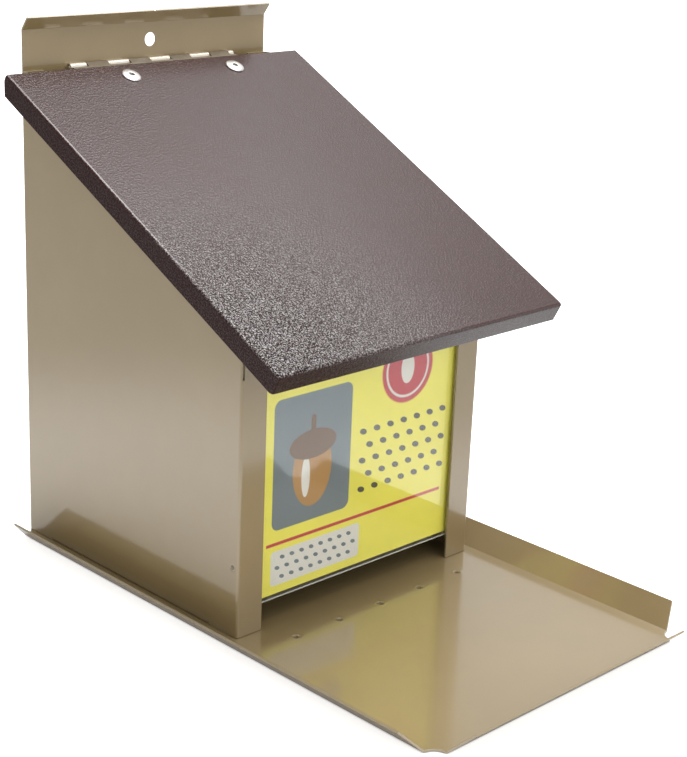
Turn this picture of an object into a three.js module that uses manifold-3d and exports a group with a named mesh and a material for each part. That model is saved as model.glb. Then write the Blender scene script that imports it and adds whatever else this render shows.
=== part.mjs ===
// Squirrel feeder box: a folded sheet-metal hopper on a seed tray, with a clear front window,
// a sloping lid on a continuous hinge, and a back wall that rises to a hanging hole.
// Millimetres, +Z up, front towards -Y. Sections are walked flat by flat and bend by bend.

import * as THREE from "three";
import { mergeVertices } from "three/addons/utils/BufferGeometryUtils.js";
import Module from "manifold-3d";

const wasm = await Module();
wasm.setup();

// Sheet stock and press-brake bends
const SHEET = 1.0;
const BEND_INSIDE = 0.4;
const BEND_OUTSIDE = BEND_INSIDE + SHEET;
const BEND_STEP = THREE.MathUtils.degToRad(15);

// Tray and back wall, one folded sheet; Y = 0 is the back face of the wall
const TRAY = {
  foldWidth: 163.8,
  foldLength: 287.6,
  flangeWidth: 14.7,
  flare: 45,
  mitre: 20,
  reliefRadius: 6.4,
  rearReliefSet: 1.0,
};
const WALL = { width: 150.0, foldHeight: 251.5, lipWidth: 7.6, lipBend: 37.4 };
const HANGING_HOLE = { radius: 3.4, height: 242.6 };
const LIP_NOTCH = { radius: 0.9 };
const DRAIN = { count: 5, pitch: 26.8, radius: 1.0, fromBack: 176.2 };

// Hopper sides
const BOX = {
  width: 152.4,
  depth: 160.3,
  frontFlange: 14.6,
  rearFlange: 12.6,
  footFlange: 12.6,
  rearTop: 232.0,
};
const FOOT = { endClear: 20.0, reliefWidth: 0.4, reliefHeight: 0.2, hemHeight: 0.5 };
const FOLD_SLOT = { inset: 1.1, width: 1.0, bottom: 122.5, height: 9.0 };

// Window: channel guides, a clear pane and the card that lies on its back
const GUIDE = {
  sheet: 0.8,
  inside: 0.8,
  depth: 4.8,
  leg: 13.3,
  stopHeight: 13.0,
  stopLength: 8.0,
  stopClear: 0.1,
  top: 151.0,
};
const PANE = { width: 147.2, thickness: 2.4, height: 136.0, frontGap: 0.1 };
const CARD = { width: 127.0, thickness: 0.3, bottom: 15.0, height: 127.0 };

// Continuous hinge, cut from longer stock so that its knuckles start part way through one
const HINGE = {
  length: 101.6,
  knuckle: 12.7,
  firstKnuckle: 9.4,
  sideGap: 0.15,
  leafWidth: 20.0,
  leafSheet: 0.9,
  knuckleInside: 1.25,
  curl: 288,
  slotDepth: 3.0,
  axisHeight: 232.4,
  wallGap: 0.12,
};
const KNUCKLE_OUTSIDE = HINGE.knuckleInside + HINGE.leafSheet;
const PIN = { radius: 1.15, sides: 16 };

// Lid, laid out flat about the hinge axis and then tipped to its slope
const LID = {
  slope: 26.8,
  width: 181.0,
  length: 212.5,
  fromAxis: 5.8,
  skirt: 9.7,
  cornerRadius: 1.8,
  clipStart: 3.3,
  clipSet: 3.2,
  leafGap: 0.25,
  restGap: 0.3,
};

// Blind rivets, in a pair along each hinge leaf
const RIVET = {
  head: 4.8,
  headHeight: 1.1,
  shank: 2.35,
  hole: 2.6,
  bulb: 3.4,
  tail: 3.6,
  play: 0.15,
  sides: 16,
};
const RIVET_X = [-25.1, 40.3];
const RIVET_FROM_AXIS = 15.1;

// Cutting tools: a drill's length, and a span that reaches past both sides of the feeder
const DRILL = 8;
const ACROSS = [-TRAY.foldWidth, TRAY.foldWidth];

// Heights and faces that follow from the sizes above
const LEAF_BACK = -SHEET - HINGE.wallGap;
const AXIS_Y = LEAF_BACK - KNUCKLE_OUTSIDE;
const LID_UNDERSIDE = KNUCKLE_OUTSIDE + LID.leafGap;
const LID_TOP = LID_UNDERSIDE + SHEET;
const BOX_BACK = -SHEET;
const BOX_FRONT = BOX_BACK - BOX.depth;
const SIDES = { left: -1, right: 1 };

// Painted and bare finishes
const FINISH = {
  bodyPaint: { color: 0x9c8d74, roughness: 0.34, metalness: 0.0 },
  lidPaint: { color: 0x4a3d3a, roughness: 0.52, metalness: 0.0 },
  zincSteel: { color: 0xcbc3b4, roughness: 0.34, metalness: 0.85 },
  aluminium: { color: 0xe4e2de, roughness: 0.3, metalness: 0.9 },
  clearAcrylic: { color: 0xe8f0f0, roughness: 0.06, metalness: 0.0, transparent: true, opacity: 0.3 },
  printedCard: { color: 0xe3da4c, roughness: 0.45, metalness: 0.0 },
};

// Turns a closed geometry into a solid that can be joined and cut
function solidOf(geometry) {
  const bare = geometry.clone();
  bare.deleteAttribute("normal");
  bare.deleteAttribute("uv");
  const merged = mergeVertices(bare, 1e-4);
  return new wasm.Manifold(new wasm.Mesh({
    numProp: 3,
    vertProperties: new Float32Array(merged.attributes.position.array),
    triVerts: new Uint32Array(merged.index.array),
  }));
}

// Turns a solid back into a named mesh with its own material
function meshOf(name, solid, finish) {
  const data = solid.getMesh();
  const geometry = new THREE.BufferGeometry();
  geometry.setAttribute("position", new THREE.Float32BufferAttribute(data.vertProperties, 3));
  geometry.setIndex(new THREE.BufferAttribute(new Uint32Array(data.triVerts), 1));
  geometry.computeVertexNormals();
  const mesh = new THREE.Mesh(geometry, new THREE.MeshStandardMaterial(finish));
  mesh.name = name;
  return mesh;
}

function shapeOf(points) {
  return new THREE.Shape(points.map(([u, v]) => new THREE.Vector2(u, v)));
}

// Extrudes a shape or an outline; the three axes say where its u, v and depth point
function extruded(outline, length, axes, origin) {
  const shape = outline instanceof THREE.Shape ? outline : shapeOf(outline);
  const settings = { depth: length, bevelEnabled: false, curveSegments: 8 };
  const geometry = new THREE.ExtrudeGeometry(shape, settings);
  const place = new THREE.Matrix4().makeBasis(...axes).setPosition(origin);
  return solidOf(geometry.applyMatrix4(place));
}

const EAST = new THREE.Vector3(1, 0, 0);
const NORTH = new THREE.Vector3(0, 1, 0);
const SOUTH = new THREE.Vector3(0, -1, 0);
const UP = new THREE.Vector3(0, 0, 1);

// Outline in (y, z), swept from x0 to x1
function alongX(outline, x0, x1) {
  return extruded(outline, x1 - x0, [NORTH, UP, EAST], new THREE.Vector3(x0, 0, 0));
}

// Outline in (x, z), swept from y0 to y1
function alongY(outline, y0, y1) {
  return extruded(outline, y1 - y0, [EAST, UP, SOUTH], new THREE.Vector3(0, y1, 0));
}

// Outline in (x, y), swept from z0 to z1
function alongZ(outline, z0, z1) {
  return extruded(outline, z1 - z0, [EAST, NORTH, UP], new THREE.Vector3(0, 0, z0));
}

function block(x, y, z) {
  return alongZ([[x[0], y[0]], [x[1], y[0]], [x[1], y[1]], [x[0], y[1]]], z[0], z[1]);
}

// Round cutter or bar about an axis through the given point
function round(radius, length, sides, centre, axis) {
  const geometry = new THREE.CylinderGeometry(radius, radius, length, sides);
  const turn = new THREE.Quaternion().setFromUnitVectors(NORTH, axis);
  return solidOf(geometry.applyQuaternion(turn).translate(...centre));
}

// Walks one face of a folded sheet and returns its closed section.
// Thickness lies to the left of the walk; a positive bend turns left.
function foldedSection(start, heading, thickness, inside, steps) {
  const near = [];
  const far = [];
  let [u, v] = start;
  let angle = THREE.MathUtils.degToRad(heading);
  const mark = () => {
    near.push([u, v]);
    far.push([u - Math.sin(angle) * thickness, v + Math.cos(angle) * thickness]);
  };
  mark();
  for (const { flat = 0, bend = 0 } of steps) {
    u += Math.cos(angle) * flat;
    v += Math.sin(angle) * flat;
    if (flat) mark();
    const turn = THREE.MathUtils.degToRad(bend);
    const radius = turn > 0 ? inside + thickness : inside;
    const hand = Math.sign(turn);
    const centre = [u - Math.sin(angle) * radius * hand, v + Math.cos(angle) * radius * hand];
    const count = Math.max(1, Math.round(Math.abs(turn) / Math.max(BEND_STEP, Math.abs(turn) / 12)));
    for (let i = 1; i <= count && turn; i += 1) {
      angle += turn / count;
      u = centre[0] + Math.sin(angle) * radius * hand;
      v = centre[1] - Math.cos(angle) * radius * hand;
      mark();
    }
  }
  return [...near, ...far.reverse()];
}

function mirrored(points, side) {
  return points.map(([u, v]) => [u * -side, v]);
}

function union(solids) {
  return solids.reduce((whole, next) => whole.add(next));
}

// How far a bend of this angle starts short of the sharp fold line
function setback(angle) {
  return BEND_OUTSIDE * Math.tan(THREE.MathUtils.degToRad(angle / 2));
}

// A flared flange seen in section, walked from on top of the floor and out past its fold line
function flareSection(foldLine) {
  const lap = 2;
  const start = [foldLine + setback(TRAY.flare) + lap, SHEET];
  const rise = TRAY.flangeWidth - setback(TRAY.flare);
  return foldedSection(start, 180, SHEET, BEND_INSIDE, [
    { flat: lap, bend: -TRAY.flare },
    { flat: rise },
  ]);
}

// Plan outline that trims a flange: its ends close in by the mitre angle as it rises
function mitrePlan(from, to, foldLine) {
  const outer = foldLine - TRAY.flangeWidth;
  const inner = foldLine + TRAY.flangeWidth;
  const seen = Math.cos(THREE.MathUtils.degToRad(TRAY.flare));
  const close = (TRAY.flangeWidth * Math.tan(THREE.MathUtils.degToRad(TRAY.mitre))) / seen;
  return [
    [from, inner],
    [to, inner],
    [to, foldLine],
    [to - close, outer],
    [from + close, outer],
    [from, foldLine],
  ];
}

// Floor of the tray with a quarter-round relief bitten out of each corner
function floorShape() {
  const half = TRAY.foldWidth / 2;
  const edge = half - setback(TRAY.flare);
  const front = -TRAY.foldLength;
  const frontEdge = front + setback(TRAY.flare);
  const rearEdge = -BEND_OUTSIDE;
  const reach = (offset) => Math.sqrt(TRAY.reliefRadius ** 2 - offset ** 2);
  const frontSpan = reach(frontEdge - front);
  const sideSpan = reach(half - edge);
  const rearCentre = TRAY.rearReliefSet;
  const rearSpan = reach(rearCentre - rearEdge);
  const shape = new THREE.Shape();
  const bite = (x, y, from, to) => {
    shape.absarc(x, y, TRAY.reliefRadius, Math.atan2(from[1] - y, from[0] - x),
      Math.atan2(to[1] - y, to[0] - x), true);
  };
  shape.moveTo(-half + frontSpan, frontEdge);
  shape.lineTo(half - frontSpan, frontEdge);
  bite(half, front, [half - frontSpan, frontEdge], [edge, front + sideSpan]);
  shape.lineTo(edge, rearCentre - sideSpan);
  bite(half, rearCentre, [edge, rearCentre - sideSpan], [half - rearSpan, rearEdge]);
  shape.lineTo(-half + rearSpan, rearEdge);
  bite(-half, rearCentre, [-half + rearSpan, rearEdge], [-edge, rearCentre - sideSpan]);
  shape.lineTo(-edge, front + sideSpan);
  bite(-half, front, [-edge, front + sideSpan], [-half + frontSpan, frontEdge]);
  for (let i = 0; i < DRAIN.count; i += 1) {
    const x = (i - (DRAIN.count - 1) / 2) * DRAIN.pitch;
    const hole = new THREE.Path();
    hole.absarc(x, -DRAIN.fromBack, DRAIN.radius, 0, 2 * Math.PI, true);
    shape.holes.push(hole);
  }
  return shape;
}

// Tray floor, three flared flanges and the back wall with its forward lip
function trayAndBack() {
  const half = TRAY.foldWidth / 2;
  const frontEnd = half - TRAY.reliefRadius;
  const sideFrom = -TRAY.foldLength + TRAY.reliefRadius;
  const sideTo = TRAY.rearReliefSet - TRAY.reliefRadius;
  const tall = [-1, TRAY.flangeWidth];

  const frontFlange = alongX(flareSection(-TRAY.foldLength), -frontEnd, frontEnd)
    .intersect(alongZ(mitrePlan(-frontEnd, frontEnd, -TRAY.foldLength), ...tall));
  const sideFlanges = Object.values(SIDES).map((side) => {
    const plan = mitrePlan(sideFrom, sideTo, -half).map(([along, across]) => [across, along]);
    return alongY(mirrored(flareSection(-half), side), sideFrom, sideTo)
      .intersect(alongZ(mirrored(plan, side), ...tall));
  });

  const lap = 3;
  const lipSet = setback(WALL.lipBend);
  const wall = alongX(foldedSection([-BEND_OUTSIDE - lap, 0], 0, SHEET, BEND_INSIDE, [
    { flat: lap, bend: 90 },
    { flat: WALL.foldHeight - lipSet - BEND_OUTSIDE, bend: WALL.lipBend },
    { flat: WALL.lipWidth - lipSet },
  ]), -WALL.width / 2, WALL.width / 2);

  const lipTop = WALL.foldHeight + WALL.lipWidth * Math.cos(THREE.MathUtils.degToRad(WALL.lipBend));
  const hanging = round(HANGING_HOLE.radius, DRILL, 24, [0, 0, HANGING_HOLE.height], NORTH);
  const notch = round(LIP_NOTCH.radius, 2 * DRILL, 12, [0, -WALL.lipWidth, lipTop], NORTH);
  const rivetHoles = RIVET_X.map((x) => (
    round(RIVET.hole, DRILL, RIVET.sides, [x, 0, HINGE.axisHeight - RIVET_FROM_AXIS], NORTH)
  ));

  return union([alongZ(floorShape(), 0, SHEET), frontFlange, ...sideFlanges, wall])
    .subtract(union([hanging, notch, ...rivetHoles]));
}

// Everything above a plane parallel to the closed lid, at this distance above the hinge axis
function aboveSlope(distance) {
  const slope = THREE.MathUtils.degToRad(LID.slope);
  const at = (run, rise) => [
    AXIS_Y - run * Math.cos(slope) - rise * Math.sin(slope),
    HINGE.axisHeight - run * Math.sin(slope) + rise * Math.cos(slope),
  ];
  const near = -BOX.depth;
  const far = 2 * BOX.depth;
  return alongX([at(near, distance), at(near, far), at(far, far), at(far, distance)], ...ACROSS);
}

// Hopper side: a channel in plan with front and rear returns, and a foot flange that lies on the tray
function sidePanel(side) {
  const outer = -BOX.width / 2;
  const hem = SHEET + FOOT.hemHeight;
  const plan = foldedSection([outer + BOX.rearFlange, BOX_BACK], 180, SHEET, BEND_INSIDE, [
    { flat: BOX.rearFlange - BEND_OUTSIDE, bend: 90 },
    { flat: BOX.depth - 2 * BEND_OUTSIDE, bend: 90 },
    { flat: BOX.frontFlange - BEND_OUTSIDE },
  ]);
  const footFrom = BOX_FRONT + FOOT.endClear;
  const footTo = BOX_BACK - FOOT.endClear;
  const footBend = SHEET + BEND_OUTSIDE;
  const webLap = 3;
  const foot = foldedSection([outer, footBend + webLap], 270, SHEET, BEND_INSIDE, [
    { flat: webLap, bend: 90 },
    { flat: BOX.footFlange - BEND_OUTSIDE },
  ]);
  const footEdge = outer + BOX.footFlange + 1;
  const footPlan = [
    [outer - 1, footFrom],
    [outer + BEND_OUTSIDE, footFrom],
    [footEdge, footFrom + BOX.footFlange],
    [footEdge, footTo - BOX.footFlange],
    [outer + BEND_OUTSIDE, footTo],
    [outer - 1, footTo],
  ];
  const across = [outer - 1, outer + BOX.frontFlange + 1];
  const span = side < 0 ? across : [-across[1], -across[0]];
  const slotX = outer + FOLD_SLOT.inset;
  const slotSpan = side < 0 ? [slotX - FOLD_SLOT.width / 2, slotX + FOLD_SLOT.width / 2]
    : [-slotX - FOLD_SLOT.width / 2, -slotX + FOLD_SLOT.width / 2];
  const relief = FOOT.reliefWidth;

  const channel = alongZ(mirrored(plan, side), hem, BOX.rearTop)
    .subtract(aboveSlope(LID_UNDERSIDE - LID.restGap))
    .subtract(block(span, [footFrom, footTo], [0, footBend]))
    .subtract(block(span, [footFrom - relief, footFrom], [0, footBend + FOOT.reliefHeight]))
    .subtract(block(span, [footTo, footTo + relief], [0, footBend + FOOT.reliefHeight]))
    .subtract(block(span, [BOX_BACK - BEND_INSIDE - 0.1, 1], [0, SHEET + BEND_INSIDE + 0.2]))
    .subtract(block(slotSpan, [BOX_FRONT - 1, BOX_FRONT + BEND_OUTSIDE + 0.2],
      [FOLD_SLOT.bottom, FOLD_SLOT.bottom + FOLD_SLOT.height]));
  const footFlange = alongY(mirrored(foot, side), footFrom, footTo)
    .intersect(alongZ(mirrored(footPlan, side), 0, footBend + webLap + 1));
  return channel.add(footFlange);
}

// Window guide: a small channel behind the front return, with a stop tab under the pane
function windowGuide(side) {
  const web = -BOX.width / 2 + SHEET;
  const front = BOX_FRONT + SHEET;
  const rear = front + GUIDE.depth;
  const outside = GUIDE.inside + GUIDE.sheet;
  const plan = foldedSection([web + GUIDE.leg, rear], 180, GUIDE.sheet, GUIDE.inside, [
    { flat: GUIDE.leg - outside, bend: 90 },
    { flat: GUIDE.depth - 2 * outside, bend: 90 },
    { flat: GUIDE.leg - outside },
  ]);
  const bottom = GUIDE.stopHeight - GUIDE.sheet;
  const root = web + GUIDE.sheet / 2;
  const neck = web + GUIDE.sheet + GUIDE.inside;
  const tip = web + GUIDE.stopLength;
  const between = [front + GUIDE.sheet, rear - GUIDE.sheet];
  const stop = [
    [root, between[0] + GUIDE.inside],
    [neck, between[0] + GUIDE.stopClear],
    [tip, between[0] + GUIDE.stopClear],
    [tip, between[1] - GUIDE.stopClear],
    [neck, between[1] - GUIDE.stopClear],
    [root, between[1] - GUIDE.inside],
  ];
  return alongZ(mirrored(plan, side), bottom, GUIDE.top)
    .add(alongZ(mirrored(stop, side), bottom, GUIDE.stopHeight));
}

const PANE_FRONT = BOX_FRONT + SHEET + GUIDE.sheet + PANE.frontGap;
const PANE_BACK = PANE_FRONT + PANE.thickness;

function windowPane() {
  return block([-PANE.width / 2, PANE.width / 2], [PANE_FRONT, PANE_BACK],
    [GUIDE.stopHeight, GUIDE.stopHeight + PANE.height]);
}

function labelCard() {
  return block([-CARD.width / 2, CARD.width / 2], [PANE_BACK, PANE_BACK + CARD.thickness],
    [CARD.bottom, CARD.bottom + CARD.height]);
}

// Spans of the knuckles along the hinge, shared out in turn between the two leaves
function knuckleSpans(first) {
  const half = HINGE.length / 2;
  const edges = [-half];
  for (let x = -half + HINGE.firstKnuckle; x < half; x += HINGE.knuckle) {
    edges.push(x);
  }
  edges.push(half);
  const spans = [];
  for (let i = first; i < edges.length - 1; i += 2) {
    const from = i === 0 ? edges[i] : edges[i] + HINGE.sideGap;
    const to = i === edges.length - 2 ? edges[i + 1] : edges[i + 1] - HINGE.sideGap;
    spans.push([from, to]);
  }
  return spans;
}

// Back leaf: hangs down the wall, its knuckles curled forward round the pin
function hingeBackLeaf() {
  const low = HINGE.axisHeight - HINGE.leafWidth;
  const section = foldedSection([LEAF_BACK, low], 90, HINGE.leafSheet, HINGE.knuckleInside,
    [{ flat: HINGE.leafWidth, bend: HINGE.curl }]);
  const plate = block([-HINGE.length / 2, HINGE.length / 2], [LEAF_BACK - HINGE.leafSheet, LEAF_BACK],
    [low, HINGE.axisHeight - HINGE.slotDepth]);
  const knuckles = knuckleSpans(0).map((span) => alongX(section, ...span));
  const holes = RIVET_X.map((x) => (
    round(RIVET.hole, DRILL, RIVET.sides, [x, LEAF_BACK, HINGE.axisHeight - RIVET_FROM_AXIS], NORTH)
  ));
  return union([plate, ...knuckles]).subtract(union(holes));
}

// Lid leaf, about the hinge axis: lies under the lid, its knuckles curled down round the pin
function hingeLidLeaf() {
  const section = foldedSection([-HINGE.leafWidth, HINGE.knuckleInside], 0, HINGE.leafSheet,
    HINGE.knuckleInside, [{ flat: HINGE.leafWidth, bend: -HINGE.curl }]);
  const plate = block([-HINGE.length / 2, HINGE.length / 2], [-HINGE.leafWidth, -HINGE.slotDepth],
    [HINGE.knuckleInside, KNUCKLE_OUTSIDE]);
  const knuckles = knuckleSpans(1).map((span) => alongX(section, ...span));
  const holes = RIVET_X.map((x) => (
    round(RIVET.hole, DRILL, RIVET.sides, [x, -RIVET_FROM_AXIS, KNUCKLE_OUTSIDE], UP)
  ));
  return union([plate, ...knuckles]).subtract(union(holes));
}

function hingePin() {
  return round(PIN.radius, HINGE.length, PIN.sides, [0, AXIS_Y, HINGE.axisHeight], EAST);
}

// Blind rivet about +Z: a domed head with its pulled-stem pit, a shank and a bulged tail
function blindRivet(grip) {
  const { head, headHeight, shank, bulb, tail } = RIVET;
  const profile = [
    [0, headHeight * 0.3],
    [shank * 0.4, headHeight * 0.4],
    [shank * 0.5, headHeight],
    [head * 0.6, headHeight * 0.9],
    [head * 0.88, headHeight * 0.6],
    [head, headHeight * 0.25],
    [head * 0.98, 0],
    [shank, 0],
    [shank, -grip],
    [bulb, -grip - 0.5],
    [bulb, -grip - tail * 0.5],
    [shank * 0.9, -grip - tail],
    [0, -grip - tail],
  ].map(([r, z]) => new THREE.Vector2(r, z));
  const geometry = new THREE.LatheGeometry(profile.reverse(), RIVET.sides);
  return geometry.rotateX(Math.PI / 2);
}

// Back rivet: its head outside on the wall, its tail inside on the leaf
function backRivet(x) {
  const geometry = blindRivet(SHEET + HINGE.wallGap + HINGE.leafSheet);
  geometry.rotateX(-Math.PI / 2);
  return solidOf(geometry.translate(x, 0, HINGE.axisHeight - RIVET_FROM_AXIS));
}

// Lid rivet, about the hinge axis: its head on top of the lid
function lidRivet(x) {
  const geometry = blindRivet(LID_TOP - HINGE.knuckleInside + 2 * RIVET.play);
  return solidOf(geometry.translate(x, -RIVET_FROM_AXIS, LID_TOP + RIVET.play));
}

// Plan of the lid with rounded front corners, square at the back, drawn in by an offset
function lidPlan(offset) {
  const x = LID.width / 2 - offset;
  const front = -LID.fromAxis - LID.length + offset;
  const back = LID.fromAxis;
  const r = LID.cornerRadius - offset;
  const shape = new THREE.Shape();
  shape.moveTo(x, back);
  shape.lineTo(-x, back);
  shape.lineTo(-x, front + r);
  shape.absarc(-x + r, front + r, r, Math.PI, 1.5 * Math.PI, false);
  shape.lineTo(x - r, front);
  shape.absarc(x - r, front + r, r, 1.5 * Math.PI, 2 * Math.PI, false);
  shape.lineTo(x, back);
  return shape;
}

// A solid block of that plan with its upper edge rounded over
function lidBlock(offset, top) {
  const edge = BEND_OUTSIDE - offset;
  const depth = 2 * LID.skirt;
  const geometry = new THREE.ExtrudeGeometry(lidPlan(offset), {
    depth,
    bevelThickness: edge,
    bevelSize: edge,
    bevelOffset: -edge,
    bevelSegments: 4,
    curveSegments: 5,
  });
  return solidOf(geometry.translate(0, 0, top - depth - edge));
}

// Lid: a shallow pan with skirts on three sides, open at the hinge, its skirt ends clipped
function lidPanel() {
  const low = LID_TOP - LID.skirt;
  const back = -LID.fromAxis;
  const clip = [
    [back + 1, LID_TOP - LID.clipStart],
    [back, LID_TOP - LID.clipStart],
    [back - LID.clipSet, low],
    [back - LID.clipSet, low - 1],
    [back + 1, low - 1],
  ];
  const holes = RIVET_X.map((x) => (
    round(RIVET.hole, DRILL, RIVET.sides, [x, -RIVET_FROM_AXIS, LID_TOP], UP)
  ));
  return lidBlock(0, LID_TOP)
    .subtract(lidBlock(SHEET, LID_UNDERSIDE))
    .intersect(block(ACROSS, [back - LID.length - 1, back], [low, LID_TOP + 1]))
    .subtract(alongX(clip, ...ACROSS))
    .subtract(union(holes));
}

// The lid and what turns with it, laid out about the hinge axis and tipped to the closed slope
function lidAssembly() {
  const lid = new THREE.Group();
  lid.add(meshOf("lid_panel", lidPanel(), FINISH.lidPaint));
  lid.add(meshOf("hinge_lid_leaf", hingeLidLeaf(), FINISH.zincSteel));
  lid.add(meshOf("lid_rivet_left", lidRivet(RIVET_X[0]), FINISH.aluminium));
  lid.add(meshOf("lid_rivet_right", lidRivet(RIVET_X[1]), FINISH.aluminium));
  lid.position.set(0, AXIS_Y, HINGE.axisHeight);
  lid.rotation.x = THREE.MathUtils.degToRad(LID.slope);
  return lid;
}

// The whole feeder, centred on the ground under its own bounding box
function feederBox() {
  const feeder = new THREE.Group();
  feeder.add(meshOf("tray_and_back", trayAndBack(), FINISH.bodyPaint));
  for (const [name, side] of Object.entries(SIDES)) {
    feeder.add(meshOf(`${name}_side_panel`, sidePanel(side), FINISH.bodyPaint));
    feeder.add(meshOf(`${name}_window_guide`, windowGuide(side), FINISH.bodyPaint));
  }
  feeder.add(meshOf("window_pane", windowPane(), FINISH.clearAcrylic));
  feeder.add(meshOf("label_card", labelCard(), FINISH.printedCard));
  feeder.add(meshOf("hinge_back_leaf", hingeBackLeaf(), FINISH.zincSteel));
  feeder.add(meshOf("hinge_pin", hingePin(), FINISH.zincSteel));
  feeder.add(meshOf("back_rivet_left", backRivet(RIVET_X[0]), FINISH.aluminium));
  feeder.add(meshOf("back_rivet_right", backRivet(RIVET_X[1]), FINISH.aluminium));
  feeder.add(lidAssembly());
  const flangeReach = TRAY.flangeWidth * Math.cos(THREE.MathUtils.degToRad(TRAY.flare));
  feeder.position.y = (TRAY.foldLength + flangeReach - RIVET.headHeight) / 2;
  return feeder;
}

export default feederBox();
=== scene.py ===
"""Looks of a squirrel feeder box: a folded sheet-metal hopper on a seed tray.

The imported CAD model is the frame. Each class below builds one sub-assembly around it, in
millimetres from the maker's datum: Y = 0 on the back face of the wall, Z = 0 under the tray and
the front towards -Y. The finished meshes are laid into the frame in metres.
"""

import logging
import math
from collections.abc import Callable, Iterable, Sequence
from dataclasses import dataclass, field
from enum import Enum

import bmesh
import bpy
from bmesh.types import BMEdge, BMesh, BMFace, BMVert
from bpy.types import Node, NodeOutputs, NodeSocket, NodeTree
from mathutils import Matrix, Vector


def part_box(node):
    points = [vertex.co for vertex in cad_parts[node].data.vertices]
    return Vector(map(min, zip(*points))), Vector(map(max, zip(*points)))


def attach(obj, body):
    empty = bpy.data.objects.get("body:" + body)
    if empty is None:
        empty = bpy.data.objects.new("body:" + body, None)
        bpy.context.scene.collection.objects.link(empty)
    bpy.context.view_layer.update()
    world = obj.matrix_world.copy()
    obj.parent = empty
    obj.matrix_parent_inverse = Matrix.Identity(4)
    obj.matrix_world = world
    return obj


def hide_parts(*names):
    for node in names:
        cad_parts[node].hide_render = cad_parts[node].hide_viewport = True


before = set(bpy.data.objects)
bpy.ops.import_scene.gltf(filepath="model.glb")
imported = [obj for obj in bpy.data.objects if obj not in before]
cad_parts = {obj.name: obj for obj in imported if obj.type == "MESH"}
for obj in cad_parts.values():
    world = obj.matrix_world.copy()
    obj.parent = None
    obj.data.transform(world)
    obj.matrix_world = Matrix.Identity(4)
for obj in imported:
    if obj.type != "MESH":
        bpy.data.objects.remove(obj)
log = logging.getLogger("feeder")

MM = 0.001
WALL_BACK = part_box("tray_and_back")[1][1]
DATUM = Matrix.Translation((0.0, WALL_BACK, 0.0)) @ Matrix.Scale(MM, 4)

SHEET = 1.0
OUTSIDE_BEND = 1.4
BEND_STEP = 11.0
EASED_EDGE = 0.12
SAME_PLACE = 1e-3
SAME_WAY = 0.99
CUT_EDGE = "cut_edge"

HOUSING = "housing"
LID = "lid"

RIVET_X = (-25.1, 40.3)
RIVET_FROM_AXIS = 15.1
RIVET_HOLE = 2.6
KNUCKLE_OUTSIDE = 2.15
LEAF_SHEET = 0.9
LEAF_OFF_WALL = 0.12
HINGE_HEIGHT = 232.4
HINGE_Y = -SHEET - LEAF_OFF_WALL - KNUCKLE_OUTSIDE
LID_SLOPE = 26.8
LEAF_GAP = 0.25
CARD_LOW = 14.6
LID_TOP = KNUCKLE_OUTSIDE + LEAF_GAP + SHEET

AT_HINGE = DATUM @ Matrix.Translation((0.0, HINGE_Y, HINGE_HEIGHT))
ON_LID = AT_HINGE @ Matrix.Rotation(math.radians(LID_SLOPE), 4, "X")

Number = float | NodeSocket


class Side(Enum):
    """The two sides of the hopper, as seen by someone facing the window."""

    LEFT = -1
    RIGHT = 1


class PrintShape(Enum):
    """Shapes that a print layer can have."""

    ELLIPSE = "ellipse"
    SLAB = "slab"
    SEEDS = "seeds"


# Colour


def linear(code: str) -> tuple[float, float, float, float]:
    """Turns a six-digit colour code into linear RGBA.

    Args:
        code: The colour as written on a paint chart, such as "9c8d74".

    Returns:
        Red, green, blue and an alpha of 1.
    """
    channels = [int(code[i:i + 2], 16) / 255 for i in (0, 2, 4)]
    red, green, blue = (c / 12.92 if c <= 0.04045 else ((c + 0.055) / 1.055) ** 2.4 for c in channels)
    return red, green, blue, 1.0


def shade(colour: Sequence[float], factor: float) -> tuple[float, float, float, float]:
    """Returns a linear colour made lighter or darker by a factor."""
    red, green, blue = (min(1.0, c * factor) for c in colour[:3])
    return red, green, blue, 1.0


# Shader wiring


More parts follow.
